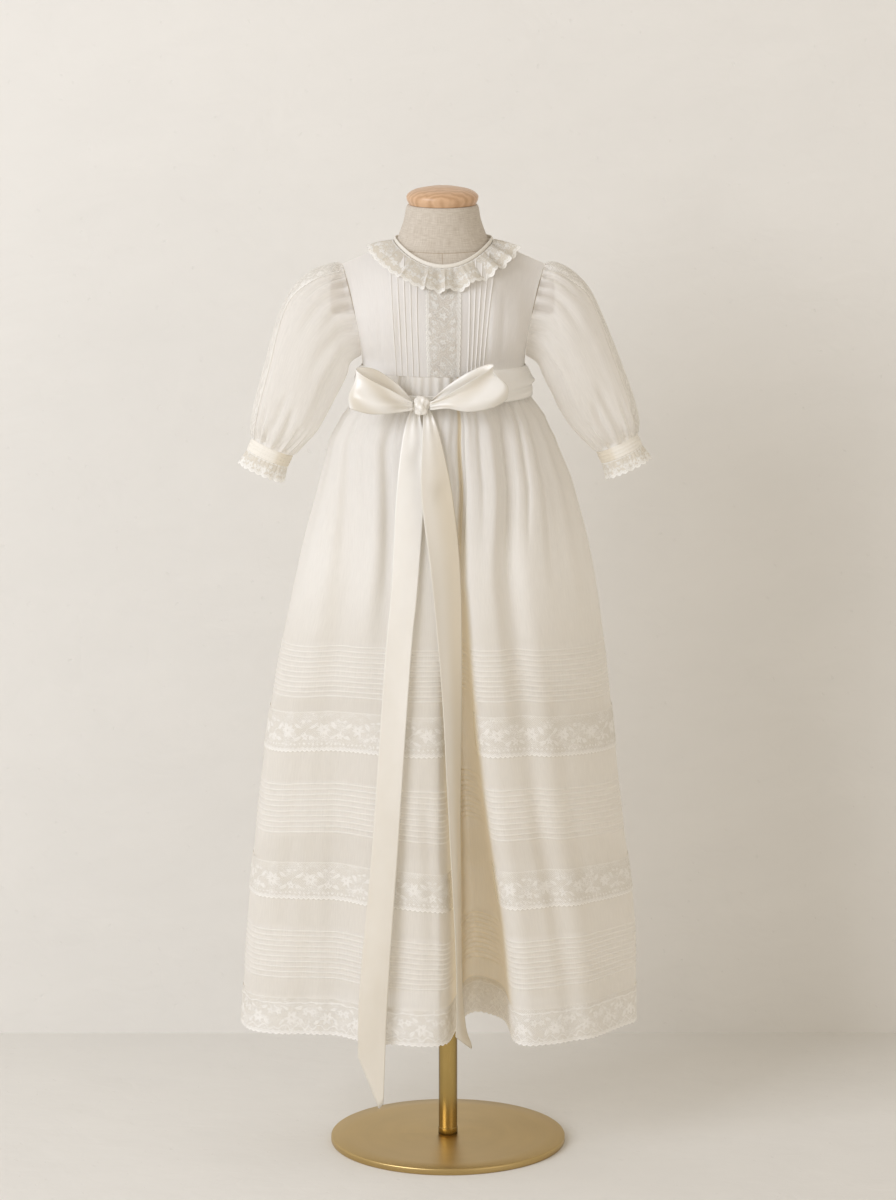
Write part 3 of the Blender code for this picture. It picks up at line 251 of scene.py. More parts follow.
TAIL_LEFT = table(
    TailStation,
    (0.7750, -0.0345, -0.0682, -0.0275, -0.0697),
    (0.7640, -0.0400, -0.0730, -0.0270, -0.0725),
    (0.7400, -0.0455, -0.0820, -0.0230, -0.0812),
    (0.6860, -0.0514, -0.0900, -0.0235, -0.0888),
    (0.5955, -0.0562, -0.0960, -0.0300, -0.0965),
    (0.5280, -0.0623, -0.0995, -0.0366, -0.1010),
    (0.3357, -0.0756, -0.1000, -0.0497, -0.1030),
    (0.1834, -0.0890, -0.1000, -0.0600, -0.1040),
    (0.0800, -0.0905, -0.1000, -0.0650, -0.1040),
)
RibbonCut = namedtuple("RibbonCut", "left point_share point right")
TAIL_LEFT_CUT = RibbonCut(0.1180, 0.82, 0.0640, 0.0700)
TAIL_RIGHT = table(
    TailStation,
    (0.7750, -0.0256, -0.0704, -0.0195, -0.0714),
    (0.7640, -0.0245, -0.0755, -0.0135, -0.0755),
    (0.7400, -0.0262, -0.0855, -0.0060, -0.0840),
    (0.6900, -0.0268, -0.0935, 0.0045, -0.0915),
    (0.6150, -0.0180, -0.1000, 0.0125, -0.0960),
    (0.5260, -0.0099, -0.1030, 0.0139, -0.0950),
    (0.4200, -0.0025, -0.1040, 0.0135, -0.0850),
    (0.3290, 0.0030, -0.1040, 0.0123, -0.0790),
    (0.1720, 0.0090, -0.1020, 0.0158, -0.0760),
    (0.1350, 0.0080, -0.1010, 0.0240, -0.0800),
)
TAIL_RIGHT_CUT = RibbonCut(0.1390, 0.97, 0.1205, 0.1225)
CUT_LENGTH = 0.072

FormRing = namedtuple("FormRing", "height half_width half_depth")
FORM_RINGS = table(
    FormRing,
    (FORM_BOTTOM, 0.058, 0.038),
    (0.6350, 0.067, 0.045),
    (0.6600, 0.074, 0.050),
    (0.7300, 0.074, 0.051),
    (0.8000, 0.072, 0.051),
    (0.8700, 0.077, 0.056),
    (0.8880, 0.078, 0.052),
    (0.9000, 0.0780, 0.0465),
    (0.9090, 0.0697, 0.0425),
    (0.9190, 0.0560, 0.0380),
    (0.9290, 0.0468, 0.0368),
    (0.9400, 0.0420, 0.0358),
    (0.9520, 0.0380, 0.0350),
    (0.9630, 0.0360, 0.0340),
    (0.9660, 0.0345, 0.0325),
)
SEAM_HEIGHT = 0.9260
SEAM_DIP = 3.5
FORM_NECK_DEPTH = 36.0
STUB_REACH = 0.1110
STUB_RADIUS = 0.0175
STUB_HEIGHT = 0.8740
FORM_X = -0.0055
FORM_Y = -0.0020
CAP_RINGS = table(
    FormRing,
    (0.9663, 0.0330, 0.0315),
    (0.9720, 0.0355, 0.0340),
    (0.9765, 0.0345, 0.0330),
    (0.9810, 0.0270, 0.0260),
    (0.9840, 0.0120, 0.0115),
)

# ---------------------------------------------------------------- colours

# Each pair is the darkest and the lightest colour that a look gives from its noise and its attributes; on the
# satin, and at the skirt's waist and right side, these attributes carry painted light and shade.
ORGANZA_COLOURS = ((0.872, 0.850, 0.810), (1.000, 0.992, 0.975))
BODICE_COLOURS = ((0.945, 0.925, 0.905), (0.985, 0.975, 0.965))
SLEEVE_COLOURS = ((0.905, 0.885, 0.865), (0.970, 0.960, 0.950))
LAWN_COLOURS = ((0.860, 0.820, 0.740), (0.950, 0.925, 0.870))
LACE_COLOURS = ((0.825, 0.798, 0.745), (0.980, 0.968, 0.943))
PANEL_COLOURS = ((0.830, 0.775, 0.700), (1.000, 0.985, 0.950))
FRILL_COLOURS = ((0.790, 0.740, 0.650), (1.000, 0.990, 0.960))
SATIN_COLOURS = ((0.800, 0.745, 0.645), (1.000, 0.985, 0.955))
LINEN_COLOURS = ((0.455, 0.388, 0.310), (0.720, 0.662, 0.580))
PLATE_COLOURS = ((0.400, 0.280, 0.105), (0.660, 0.490, 0.230))
POLE_COLOURS = ((0.370, 0.255, 0.080), (0.600, 0.435, 0.165))
WOOD_COLOURS = ((0.470, 0.270, 0.140), (0.700, 0.460, 0.280))
PEARL_COLOURS = ((0.860, 0.830, 0.780), (0.950, 0.930, 0.900))
ORGANZA_GLOW = (0.970, 0.930, 0.840)
# Painted shade: the golden tone of the deep pleat and the waist, where light comes through several layers of
# cloth.
PAINTED_PLEAT_GOLD = (0.990, 0.810, 0.490)
# Painted shade: tan on the right ribbon tail's edge turned from the light and on the cuffs' side towards the
# body.
PAINTED_SHADE_TAN = (0.760, 0.680, 0.540)
SEAM_BROWN = (0.360, 0.270, 0.180)
# Painted dark reflection along the pole's edges, seen edge on.
POLE_PAINTED_DARK_EDGE = (0.130, 0.080, 0.025)
WALL_COLOUR = (0.790, 0.772, 0.735)


# ---------------------------------------------------------------- shader graphs


def one_node(operation, turned=False):
    """A Signal's method that adds one Math node; turned swaps the node's two inputs."""

    def method(self, other=None):
        first, second = (other, self) if turned else (self, other)
        return self.graph.math(operation, first, second)

    return method


class Signal:
    """A number that varies over a surface. Arithmetic on it adds Math nodes."""

    def __init__(self, graph, socket):
        self.graph = graph
        self.socket = socket

    __add__ = one_node("ADD")
    __radd__ = one_node("ADD", turned=True)
    __sub__ = one_node("SUBTRACT")
    __rsub__ = one_node("SUBTRACT", turned=True)
    __mul__ = one_node("MULTIPLY")
    __rmul__ = one_node("MULTIPLY", turned=True)
    __truediv__ = one_node("DIVIDE")
    __pow__ = one_node("POWER")
    __abs__ = one_node("ABSOLUTE")
    fract = one_node("FRACT")
    root = one_node("SQRT")
    sine = one_node("SINE")
    cosine = one_node("COSINE")
    most = one_node("MAXIMUM")
    angle_over = one_node("ARCTAN2")

    def clamped(self):
        return self.graph.math("ADD", self, 0.0, clamp=True)

    def below(self, edge, soft):
        """1 where the signal is below edge, 0 above it, with a soft step."""
        return self.graph.math("ADD", (edge - self) / (2 * soft), 0.5, clamp=True)


class Graph:
    """A look: a material, the slot that its pieces fill, and its nodes."""

    def __init__(self, name, slot=None):
        self.slot = slot
        self.material = bpy.data.materials.new(name)
        self.material.use_nodes = True
        self.tree = self.material.node_tree
        self.shader = self.tree.nodes["Principled BSDF"]
        self.output = self.tree.nodes["Material Output"]

    def put(self, socket, value):
        """Links a signal or a socket, or sets a number or a colour."""
        if isinstance(value, Signal):
            value = value.socket
        if isinstance(value, bpy.types.NodeSocket):
            self.tree.links.new(value, socket)
        else:
            socket.default_value = (*value, 1.0) if isinstance(value, tuple) else value

    def fill(self, node, **values):
        """Puts values into a node's sockets, by name with underscores for spaces."""
        for key, value in values.items():
            self.put(node.inputs[key.replace("_", " ")], value)
        return node

    def set(self, **values):
        """Puts values into the main shader's own sockets."""
        self.fill(self.shader, **values)

    def node(self, kind, *values, **settings):
        """A new node with its settings, and with values for its first sockets."""
        made = self.tree.nodes.new(f"ShaderNode{kind}")
        for key, value in settings.items():
            setattr(made, key, value)
        for socket, value in zip(made.inputs, values):
            self.put(socket, value)
        return made

    def math(self, operation, first, second=None, clamp=False):
        values = (first,) if second is None else (first, second)
        made = self.node("Math", *values, operation=operation, use_clamp=clamp)
        return Signal(self, made.outputs[0])

    def parts(self, vector, count):
        """The first parts of a vector in metres, as signals in millimetres."""
        split = self.node("SeparateXYZ", vector)
        return [Signal(self, split.outputs[axis]) * 1000.0 for axis in range(count)]

    def uv(self):
        """Two signals: along and down the cloth, in millimetres."""
        return self.parts(self.node("UVMap", uv_map="UVMap").outputs[0], 2)

    def place(self):
        """Three signals: where the surface is, in millimetres."""
        return self.parts(self.node("TexCoord").outputs["Object"], 3)

    def attribute(self, name):
        return Signal(self, self.node("Attribute", attribute_name=name).outputs["Fac"])

    def facing(self):
        """0 where the surface faces the viewer, 1 where it is seen edge on."""
        return Signal(self, self.node("LayerWeight", 0.5).outputs["Facing"])

    def noise(self, x, y, z=0.0, detail=2.0, roughness=0.5):
        """Noise between 0 and 1 at a point given by signals, one unit to a cell."""
        point = self.node("CombineXYZ", x, y, z).outputs[0]
        made = self.fill(self.node("TexNoise"), Vector=point, Scale=1.0, Detail=detail, Roughness=roughness)
        return Signal(self, made.outputs[0])

    def blend(self, share, dark, light):
        """A colour between dark and light."""
        made = self.node("Mix", share, data_type="RGBA")
        self.put(made.inputs[6], dark)
        self.put(made.inputs[7], light)
        return made.outputs[2]

    def bump(self, height, distance, strength=1.0):
        made = self.fill(self.node("Bump"), Strength=strength, Distance=distance, Height=height)
        self.set(Normal=made.outputs[0])

    def glow_through(self, share, colour=ORGANZA_GLOW):
        """Lets a share of the light through as cloth does: soft, from the other side."""
        soft = self.node("BsdfTranslucent", colour)
        return self.node("MixShader", share, self.shader.outputs[0], soft.outputs[0]).outputs[0]

    def see_through(self, surface, opacity):
        """Shows the surface where opacity is 1 and nothing where it is 0."""
        clear = self.node("BsdfTransparent")
        self.show(self.node("MixShader", opacity, clear.outputs[0], surface).outputs[0])

    def show(self, surface):
        self.put(self.output.inputs["Surface"], surface)


# ---------------------------------------------------------------- looks


def weave(g, pitch, slub_size, cloud_size):
    """Fine threads, uneven slubs along them and soft clouds, for a cloth with its UV in millimetres."""
    u, v = g.uv()
    threads = (u * (TURN / pitch)).sine() * (v * (TURN / pitch)).sine()
    slub = g.noise(u / slub_size[0], v / slub_size[1], detail=1.0)
    cloud = g.noise(u / cloud_size[0], v / cloud_size[1])
    return threads, slub, cloud


def organza(name, least, most, edge_on=0.35, colours=ORGANZA_COLOURS):
    """Fine sheer plain weave, more opaque where its density attribute is high and where seen edge on, with
    golden painted shade in the deep pleat.
    """
    g = Graph(name, "ivory_organza")
    threads, slub, cloud = weave(g, 0.55, (1.1, 16.0), (26.0, 40.0))
    dense = g.attribute("dense")
    shade = (dense * 0.6 + cloud * 0.35 + slub * 0.15).clamped()
    painted_warm_shade = g.attribute("painted_warm_shade")
    # Golden painted shade where the warm attribute is high; the density attribute also lightens the colour,
    # with painted light at the waist.
    g.set(Base_Color=g.blend(painted_warm_shade, g.blend(shade, *colours), PAINTED_PLEAT_GOLD), Roughness=0.62)
    g.set(Sheen_Weight=0.25, Sheen_Roughness=0.4, Specular_IOR_Level=0.25)
    g.bump(threads * 0.3 + slub, 0.12 * MM, 0.6)
    rim = g.facing() ** 2.5
    opacity = (dense * (most - least) + least + (slub - 0.5) * 0.10 + rim * edge_on).clamped()
    g.see_through(g.glow_through(painted_warm_shade * 0.22 + 0.35), opacity)
    return g


def plain_cloth(name, colours):
    """Opaque fine lawn for bindings and cuffs."""
    g = Graph(name, "ivory_organza")
    threads, slub, cloud = weave(g, 0.6, (1.2, 14.0), (24.0, 30.0))
    cloth = g.blend((slub * 0.3 + cloud * 0.6).clamped(), *colours)
    # Tan painted shade where the warm attribute is high, on the cuffs' side towards the body.
    g.set(Base_Color=g.blend(g.attribute("painted_warm_shade"), cloth, PAINTED_SHADE_TAN))
    g.set(Roughness=0.68, Sheen_Weight=0.2, Sheen_Roughness=0.45, Specular_IOR_Level=0.25)
    g.bump(threads * 0.3 + slub, 0.12 * MM, 0.6)
    g.see_through(g.glow_through(0.18), (slub * 0.06 + 0.94).clamped())
    return g


def drawn_together(drawings):
    """Several drawings in one: 1 where any of them is."""
    together = drawings[0]
    for drawing in drawings[1:]:
        together = together.most(drawing)
    return together


def petals(x, y, size, count, phase=0.0):
    """A generic flower round (0, 0): 1 inside its petals, with thinner veins and eye."""
    far = (x * x + y * y).root()
    turn = y.angle_over(x)
    lobes = (turn * float(count) + phase).cosine()
    edge = lobes * (0.24 * size) + 0.76 * size
    inside = (far - edge).below(0.0, 0.22)
    vein = 1.0 - abs((turn * (count / 2.0)).sine()).below(0.16, 0.08) * 0.45
    eye = 1.0 - far.below(0.17 * size, 0.2) * 0.7
    return inside * vein * eye


# A leaf of a motif: where its middle is, its tilt in radians, and its half length and half width.
Leaf = namedtuple("Leaf", "x y tilt length width")


def leaf(x, y, shape, side=1):
    """A generic leaf with a lighter midrib; side -1 is its mirror image."""
    c, s = math.cos(side * shape.tilt), math.sin(side * shape.tilt)
    dx, dy = x - side * shape.x, y - shape.y
    along = dx * c + dy * s
    across = dy * c - dx * s
    bulge = 1.0 - (along / shape.length) * (along / shape.length)
    inside = (abs(across) - bulge.most(0.0) * shape.width).below(-0.05, 0.2)
    rib = 1.0 - abs(across).below(0.22, 0.12) * 0.4
    return inside * rib


def leaf_pairs(x, y, *shapes):
    return [leaf(x, y, shape, side) for side in (-1, 1) for shape in shapes]


def net(u, v, pitch=1.7, thread=0.17):
    """Diagonal net: 1 on a thread."""
    first = abs(((u + v) / pitch).fract() - 0.5)
    second = abs(((u - v) / pitch).fract() - 0.5)
    return first.below(thread, 0.06).most(second.below(thread, 0.06))


def cord(distance, half, soft=0.15):
    """A cord where the distance from its line is below half its width."""
    return abs(distance).below(half, soft)


def band_motif(x, y):
    """A flower between leaves on a winding stem, with buds."""
    turn = x * (TURN / 38.0)
    dots = (x * (TURN / 4.75)).cosine() + ((y - 12.8) * (TURN / 4.6)).cosine()
    row = abs(y - 12.8).below(1.9, 0.2)
    return drawn_together([
        cord(y - turn.sine() * 6.0, 0.45),
        petals(x, y + 1.5, 7.6, 6),
        petals(abs(x) - 19.0, y - 5.0, 4.6, 5, 1.2),
        *leaf_pairs(
            x,
            y,
            Leaf(10.5, -6.0, 0.7, 5.2, 2.0),
            Leaf(11.0, 6.5, -0.5, 4.6, 1.8),
            Leaf(16.0, -10.5, 0.2, 3.2, 1.4),
        ),
        (1.0 - dots.below(0.9, 0.25)) * row,
    ])


def panel_motif(x, y):
    """Diamonds up the middle of a narrow strip with a bloom in each, and leaves to both sides."""
    dots = (x * (TURN / 2.6)).cosine() * (y * (TURN / 2.6)).cosine()
    return drawn_together([
        abs(abs(x) + abs(y) - 9.0).below(0.55, 0.25),
        abs(abs(x) + abs(y) - 6.6).below(0.3, 0.2) * 0.7,
        petals(x, y, 3.9, 5),
        petals(abs(x) - 9.0, abs(y) - 8.5, 3.6, 5),
        *leaf_pairs(x, abs(y), Leaf(4.2, 13.2, 0.5, 2.8, 1.2)),
        (1.0 - dots.below(0.45, 0.2)) * 0.65,
    ])


def frill_motif(x, y):
    """Little blooms and sprigs for a narrow frill."""
    return drawn_together([
        petals(x, y - 2.0, 3.9, 5),
        *leaf_pairs(x, y, Leaf(5.0, 0.5, 0.9, 2.8, 1.2)),
        petals(abs(x) - 7.0, y + 5.0, 2.1, 5),
    ])


def hem_motif(x, y):
    """Blooms in a row above a dense border."""
    wave = (x * (TURN / 14.0)).cosine() * 2.2
    return drawn_together([
        petals(x, y - 2.5, 7.4, 6),
        petals(abs(x) - 14.0, y + 4.5, 4.4, 5),
        *leaf_pairs(x, y, Leaf(9.6, 6.0, 0.9, 4.6, 1.9), Leaf(7.0, -8.5, -0.5, 4.2, 1.6)),
        cord(y - 11.5 - wave, 0.7),
        cord(y + 13.5, 0.8),
    ])


# A lace: its width and the length of one motif in millimetres; the motif, drawn round the middle of its
# cell; for the top and the bottom edge a scallop (pitch, depth) or None for a straight corded one; how
# opaque the net is; its colours; how deep the bump is in millimetres; how sharply light threads stand out.
Lace = namedtuple("Lace", "name width cell motif edges net_opacity colours depth crisp")
LACES = table(
    Lace,
    ("band_lace", 42.0, 38.0, band_motif, (None, (5.0, 1.6)), 0.72, LACE_COLOURS, 0.35, 1.4),
    ("band_lace_low", 40.0, 38.0, band_motif, (None, (5.0, 1.6)), 0.72, LACE_COLOURS, 0.35, 1.4),
    ("hem_lace_look", 39.0, 36.0, hem_motif, (None, (6.5, 1.5)), 0.70, LACE_COLOURS, 0.40, 1.6),
    ("panel_lace_look", 35.4, 26.0, panel_motif, ((5.0, 1.2), (5.0, 1.2)), 1.0, PANEL_COLOURS, 1.0, 1.7),
    ("strip_lace_look", 30.0, 20.0, panel_motif, ((5.0, 1.0), (5.0, 1.0)), 0.55, LACE_COLOURS, 0.45, 1.0),
    ("frill_lace_look", 27.0, 14.0, frill_motif, (None, (7.0, 2.0)), 0.90, FRILL_COLOURS, 0.60, 2.6),
    ("cuff_lace_look", 18.0, 14.0, frill_motif, (None, (7.0, 2.0)), 0.90, FRILL_COLOURS, 0.60, 2.6),
)


def scallop(u, distance, pitch, deep):
    """An edge's drawing of cords and eyelets, and 1 where there is lace inside it."""
    wave = abs((u * (math.pi / pitch)).sine())
    rim = distance - (1.0 - wave) * deep
    eyelets = (u * (TURN / (pitch / 3))).sine() * ((rim - 1.8) * (TURN / 3.4)).sine()
    border = rim.below(4.0, 0.4) * (1.0 - eyelets.below(-0.2, 0.2) * 0.6) * 0.8
    return [cord(rim - 0.8, 0.8), cord(rim - 2.9, 0.4) * 0.85, border], 1.0 - rim.below(0.0, 0.1)


def lace_look(lace):
    """A lace with its motif pulled a little out of true, small curls, denser clusters and a net."""
    g = Graph(lace.name, "ivory_lace")
    u, v = g.uv()
    pull_u = (g.noise(u / 8.0, v / 8.0, 1.0, detail=1.0) - 0.5) * 5.0
    pull_v = (g.noise(u / 8.0, v / 8.0, 9.0, detail=1.0) - 0.5) * 5.0
    x = (((u + pull_u) / lace.cell).fract() - 0.5) * lace.cell
    y = v + pull_v - lace.width / 2
    cluster = ((g.noise(u / 17.0, v / 12.0, 2.0, detail=1.0) - 0.40) * 4.5).clamped()
    curl = abs(g.noise(u / 2.2, v / 2.2, 4.0, detail=1.0) - 0.5).below(0.05, 0.035)
    drawings = [lace.motif(x, y) * 0.85, curl * (cluster * 0.6 + 0.35), cluster * 0.35]
    inside = []
    for edge, distance in zip(lace.edges, (v, lace.width - v)):
        if edge is None:
            drawings.append(cord(distance - 0.9, 0.6) * 0.6)
        else:
            more, kept = scallop(u, distance, *edge)
            drawings += more
            inside.append(kept)
    drawn = drawn_together(drawings).clamped()
    threads = net(u, v)
    opacity = drawn.most(threads * (1.0 - lace.net_opacity) + lace.net_opacity)
    for kept in (math.prod(inside[1:], start=inside[0]), g.attribute("dense")):
        opacity = opacity * kept
    grain = g.noise(u / 0.7, v / 0.7, detail=1.0)
    shade = ((drawn - 0.45) * lace.crisp + (grain - 0.5) * 0.5 + 0.5).clamped()
    # Golden painted shade where the lace lies in the deep pleat; there the density attribute also fades the
    # lace.
    g.set(Base_Color=g.blend(g.attribute("painted_warm_shade"), g.blend(shade, *lace.colours), PAINTED_PLEAT_GOLD))
    g.set(Roughness=0.8, Specular_IOR_Level=0.2)
    g.bump(drawn + grain * 0.3 + threads * 0.1, lace.depth * MM, 0.9)
    g.see_through(g.glow_through(0.25), opacity.clamped())
    return g


def satin_look(name):
    """Heavy ribbon satin: smooth face, fine cross threads, soft broad sheen, with painted light and shade set
    per point and tan painted shade.
    """
    g = Graph(name, "ivory_satin")
    u, v = g.uv()
    rib = g.noise(u / 9.0, v / 0.35, detail=1.0)
    cloud = g.noise(u / 18.0, v / 34.0)
    # The per-point lightness attribute paints light, shade and sheen on each piece; the warm attribute paints
    # tan shade.
    share = (g.attribute("dense") + (cloud - 0.5) * 0.35).clamped()
    g.set(Base_Color=g.blend(g.attribute("painted_warm_shade"), g.blend(share, *SATIN_COLOURS), PAINTED_SHADE_TAN))
    g.set(Roughness=0.23, Specular_IOR_Level=0.8, Anisotropic=0.5, Sheen_Weight=0.1)
    g.bump(rib, 0.04 * MM, 0.5)
    g.show(g.glow_through(0.22))
    return g


def linen_look(name):
    """Natural linen: crossed uneven threads with slubs, and a seam under the neck."""
    g = Graph(name, "natural_linen")
    u, v = g.uv()
    warp = (u * (TURN / 1.1)).sine()
    weft = (v * (TURN / 1.0)).sine()
    slub_v = g.noise(u / 0.9, v / 12.0, detail=1.5)
    slub_u = g.noise(u / 12.0, v / 0.9, detail=1.5)
    shade = ((slub_u + slub_v) * 0.9 - 0.4 + warp * weft * 0.08).clamped()
    x, y, z = g.place()
    rise = z - SEAM_HEIGHT / MM + y * (-SEAM_DIP / FORM_NECK_DEPTH)
    upright = abs(x - FORM_X / MM).below(0.30, 0.15) * (rise.below(0.0, 0.2) * y.below(0.0, 0.5))
    seam = abs(rise).below(0.30, 0.15).most(upright)
    g.set(Base_Color=g.blend(seam * 0.75, g.blend(shade, *LINEN_COLOURS), SEAM_BROWN))
    g.set(Roughness=0.92, Specular_IOR_Level=0.15, Sheen_Weight=0.15)
    g.bump(warp * weft * 0.25 + slub_v * 0.6 + slub_u * 0.6, 0.30 * MM, 0.8)
    return g


def brass_look(name, round_plate):
    """Brushed brass: turned rings on the plate, fine lengthwise lines on the pole, and painted dark
    reflections along the pole's edges.
    """
    g = Graph(name, "brushed_brass")
    x, y, z = g.place()
    turn = y.angle_over(x)
    if round_plate:
        far = (x * x + y * y).root()
        lines = g.noise(far / 0.22, turn * 1.5, z / 3.0, detail=2.0)
        cloud = g.noise(far / 30.0, turn * 0.8, 3.0)
    else:
        lines = g.noise(turn * 9.0, z / 0.35, 0.0, detail=2.0)
        cloud = g.noise(turn * 0.8, z / 60.0, 5.0)
    shade = (lines * 0.5 + cloud * 0.6).clamped()
    if round_plate:
        brass, plain = g.blend(shade, *PLATE_COLOURS), 0.24
    else:
        # The pole darkens towards its edges seen edge on: painted dark reflection.
        brass, plain = g.blend((g.facing() ** 1.3).clamped(), g.blend(shade, *POLE_COLOURS), POLE_PAINTED_DARK_EDGE), 0.15
    g.set(Base_Color=brass, Metallic=1.0, Roughness=lines * 0.12 + cloud * 0.08 + plain, Anisotropic=0.4)
    g.bump(lines, 0.02 * MM, 0.5)
    return g


def wood_look(name):
    """Turned light wood with growth rings and a satin varnish."""
    g = Graph(name, "light_wood")
    x, y, z = g.place()
    warp = g.noise(x / 16.0, y / 16.0, z / 40.0, detail=2.0)
    rings = ((y / 3.1 + z * 0.10 + warp * 5.0) * TURN * 0.5).sine() * 0.5 + 0.5
    fibre = g.noise(x / 14.0, y / 0.6, z / 0.6, detail=2.0)
    g.set(Base_Color=g.blend((rings * 0.55 + fibre * 0.45).clamped(), *WOOD_COLOURS))
    g.set(Roughness=0.38, Coat_Weight=0.25, Coat_Roughness=0.2)
    g.bump(fibre, 0.06 * MM, 0.4)
    return g


def pearl_look(name):
    """Soft pearl."""
    g = Graph(name, "pearl")
    x, y, z = g.place()
    cloud = g.noise(x / 3.0, y / 3.0, z / 2.0)
    g.set(Base_Color=g.blend(cloud, *PEARL_COLOURS))
    g.set(Roughness=0.25, Coat_Weight=0.6, Coat_Roughness=0.12)
    return g


def make_looks():
    """Every look by its material's name."""
    looks = [
        organza("skirt_organza", 0.80, 0.985),
        organza("sleeve_organza", 0.58, 0.97, 0.5, SLEEVE_COLOURS),
        organza("bodice_organza", 0.93, 0.995, 0.35, BODICE_COLOURS),
        plain_cloth("fine_lawn", LAWN_COLOURS),
        *[lace_look(lace) for lace in LACES],
        satin_look("ribbon_satin"),
        linen_look("form_linen"),
        brass_look("turned_brass", True),
        brass_look("drawn_brass", False),
        wood_look("turned_wood"),
        pearl_look("button_pearl"),
    ]
    return {look.material.name: look for look in looks}


# ---------------------------------------------------------------- mesh helpers


def spline(stations, places):
    """Points on a smooth curve through stations; places count the stations from 0."""
    stations = np.asarray(stations, float)
    places = np.asarray(places, float)
    last = len(stations) - 1
    start = np.clip(places.astype(int), 0, last - 1)
    shape = (-1,) + (1,) * (stations.ndim - 1)
    t = (places - start).reshape(shape)
    before = stations[np.maximum(start - 1, 0)]
    a = stations[start]
    b = stations[start + 1]
    after = stations[np.minimum(start + 2, last)]
    slope_a = np.where((start > 0).reshape(shape), (b - before) / 2, b - a)
    slope_b = np.where((start + 2 <= last).reshape(shape), (after - a) / 2, b - a)
    h1 = 2 * t**3 - 3 * t**2 + 1
    h2 = -2 * t**3 + 3 * t**2
    h3 = t**3 - 2 * t**2 + t
    h4 = t**3 - t**2
    return h1 * a + h2 * b + h3 * slope_a + h4 * slope_b


def places_along(stations, steps):
    """Places for a spline, with this many steps from each station to the next."""
    return np.linspace(0, len(stations) - 1, (len(stations) - 1) * steps + 1)


def ring_turns(columns):
    """The angles of a ring's columns."""
    return np.arange(columns) * TURN / columns


def smooth_step(share):
    share = np.clip(share, 0.0, 1.0)
    return share * share * (3 - 2 * share)


def ridge(apart, width):
    """A soft ridge of height 1, as wide to each side as width says."""
    return np.exp(-((apart / width) ** 2))


def unit(vectors):
    return vectors / np.linalg.norm(vectors, axis=-1, keepdims=True)


def grid_normals(grid, ring=False, away_from=None):
    """Unit normals of a grid of points, on the side away from a centre."""
    if ring:
        across = np.roll(grid, -1, axis=1) - np.roll(grid, 1, axis=1)
    else:
        across = np.gradient(grid, axis=1)
    normals = np.cross(across, np.gradient(grid, axis=0))
    normals /= np.linalg.norm(normals, axis=2, keepdims=True) + 1e-12
    if away_from is None:
        away_from = grid.mean(axis=1, keepdims=True)
    if (normals * (grid - away_from)).sum() < 0:
        normals = -normals
    return normals


def lengths_along(grid, ring=False):
    """How far each column lies along its row, in metres; a ring gets its closing column too."""
    if ring:
        grid = np.concatenate([grid, grid[:, :1]], axis=1)
    steps = np.linalg.norm(np.diff(grid, axis=1), axis=2)
    return np.concatenate([np.zeros((len(grid), 1)), np.cumsum(steps, axis=1)], axis=1)


def lengths_down(grid):
    """How far each row lies down the piece, in metres, on average."""
    steps = np.linalg.norm(np.diff(grid, axis=0), axis=2).mean(axis=1)
    return np.concatenate([[0.0], np.cumsum(steps)])


def cloth_uv(grid, ring=False, cell=None, width=None):
    """UV in metres. With cell, whole cells fit along the piece; with width, its rows span that width."""
    along = lengths_along(grid, ring).mean(axis=0)
    down = lengths_down(grid)
    if cell is not None:
        total = along[-1]
        whole = max(round(total / cell), 1) * cell
        along = along * whole / total
    if width is not None:
        down = down * width / down[-1]
    uv = np.empty((len(down), len(along), 2))
    uv[:, :, 0] = along[None, :]
    uv[:, :, 1] = down[:, None]
    return uv


def grid_mesh(name, grid, uv, normals, ring):
    """A mesh of quads from rows of points, its faces turned to the side of the normals."""
    rows, columns = grid.shape[:2]
    last = columns if ring else columns - 1
    r, c = np.meshgrid(np.arange(rows - 1), np.arange(last), indexing="ij")
    beside = (c + 1) % columns
    corners = ((r, c, c), (r, beside, c + 1), (r + 1, beside, c + 1), (r + 1, c, c))
    faces = np.stack([row * columns + column for row, column, _ in corners], axis=-1)
    face_uv = np.stack([uv[row, place] for row, _, place in corners], axis=2)
    outward = np.cross(grid[r, beside] - grid[r, c], grid[r + 1, c] - grid[r, c])
    if (outward * normals[r, c]).sum() < 0:
        faces = faces[..., ::-1]
        face_uv = face_uv[:, :, ::-1]
    mesh = bpy.data.meshes.new(name)
    mesh.from_pydata(grid.reshape(-1, 3).tolist(), [], faces.reshape(-1, 4).tolist())
    layer = mesh.uv_layers.new(name="UVMap")
    layer.data.foreach_set("uv", np.ascontiguousarray(face_uv.reshape(-1)))
    return mesh


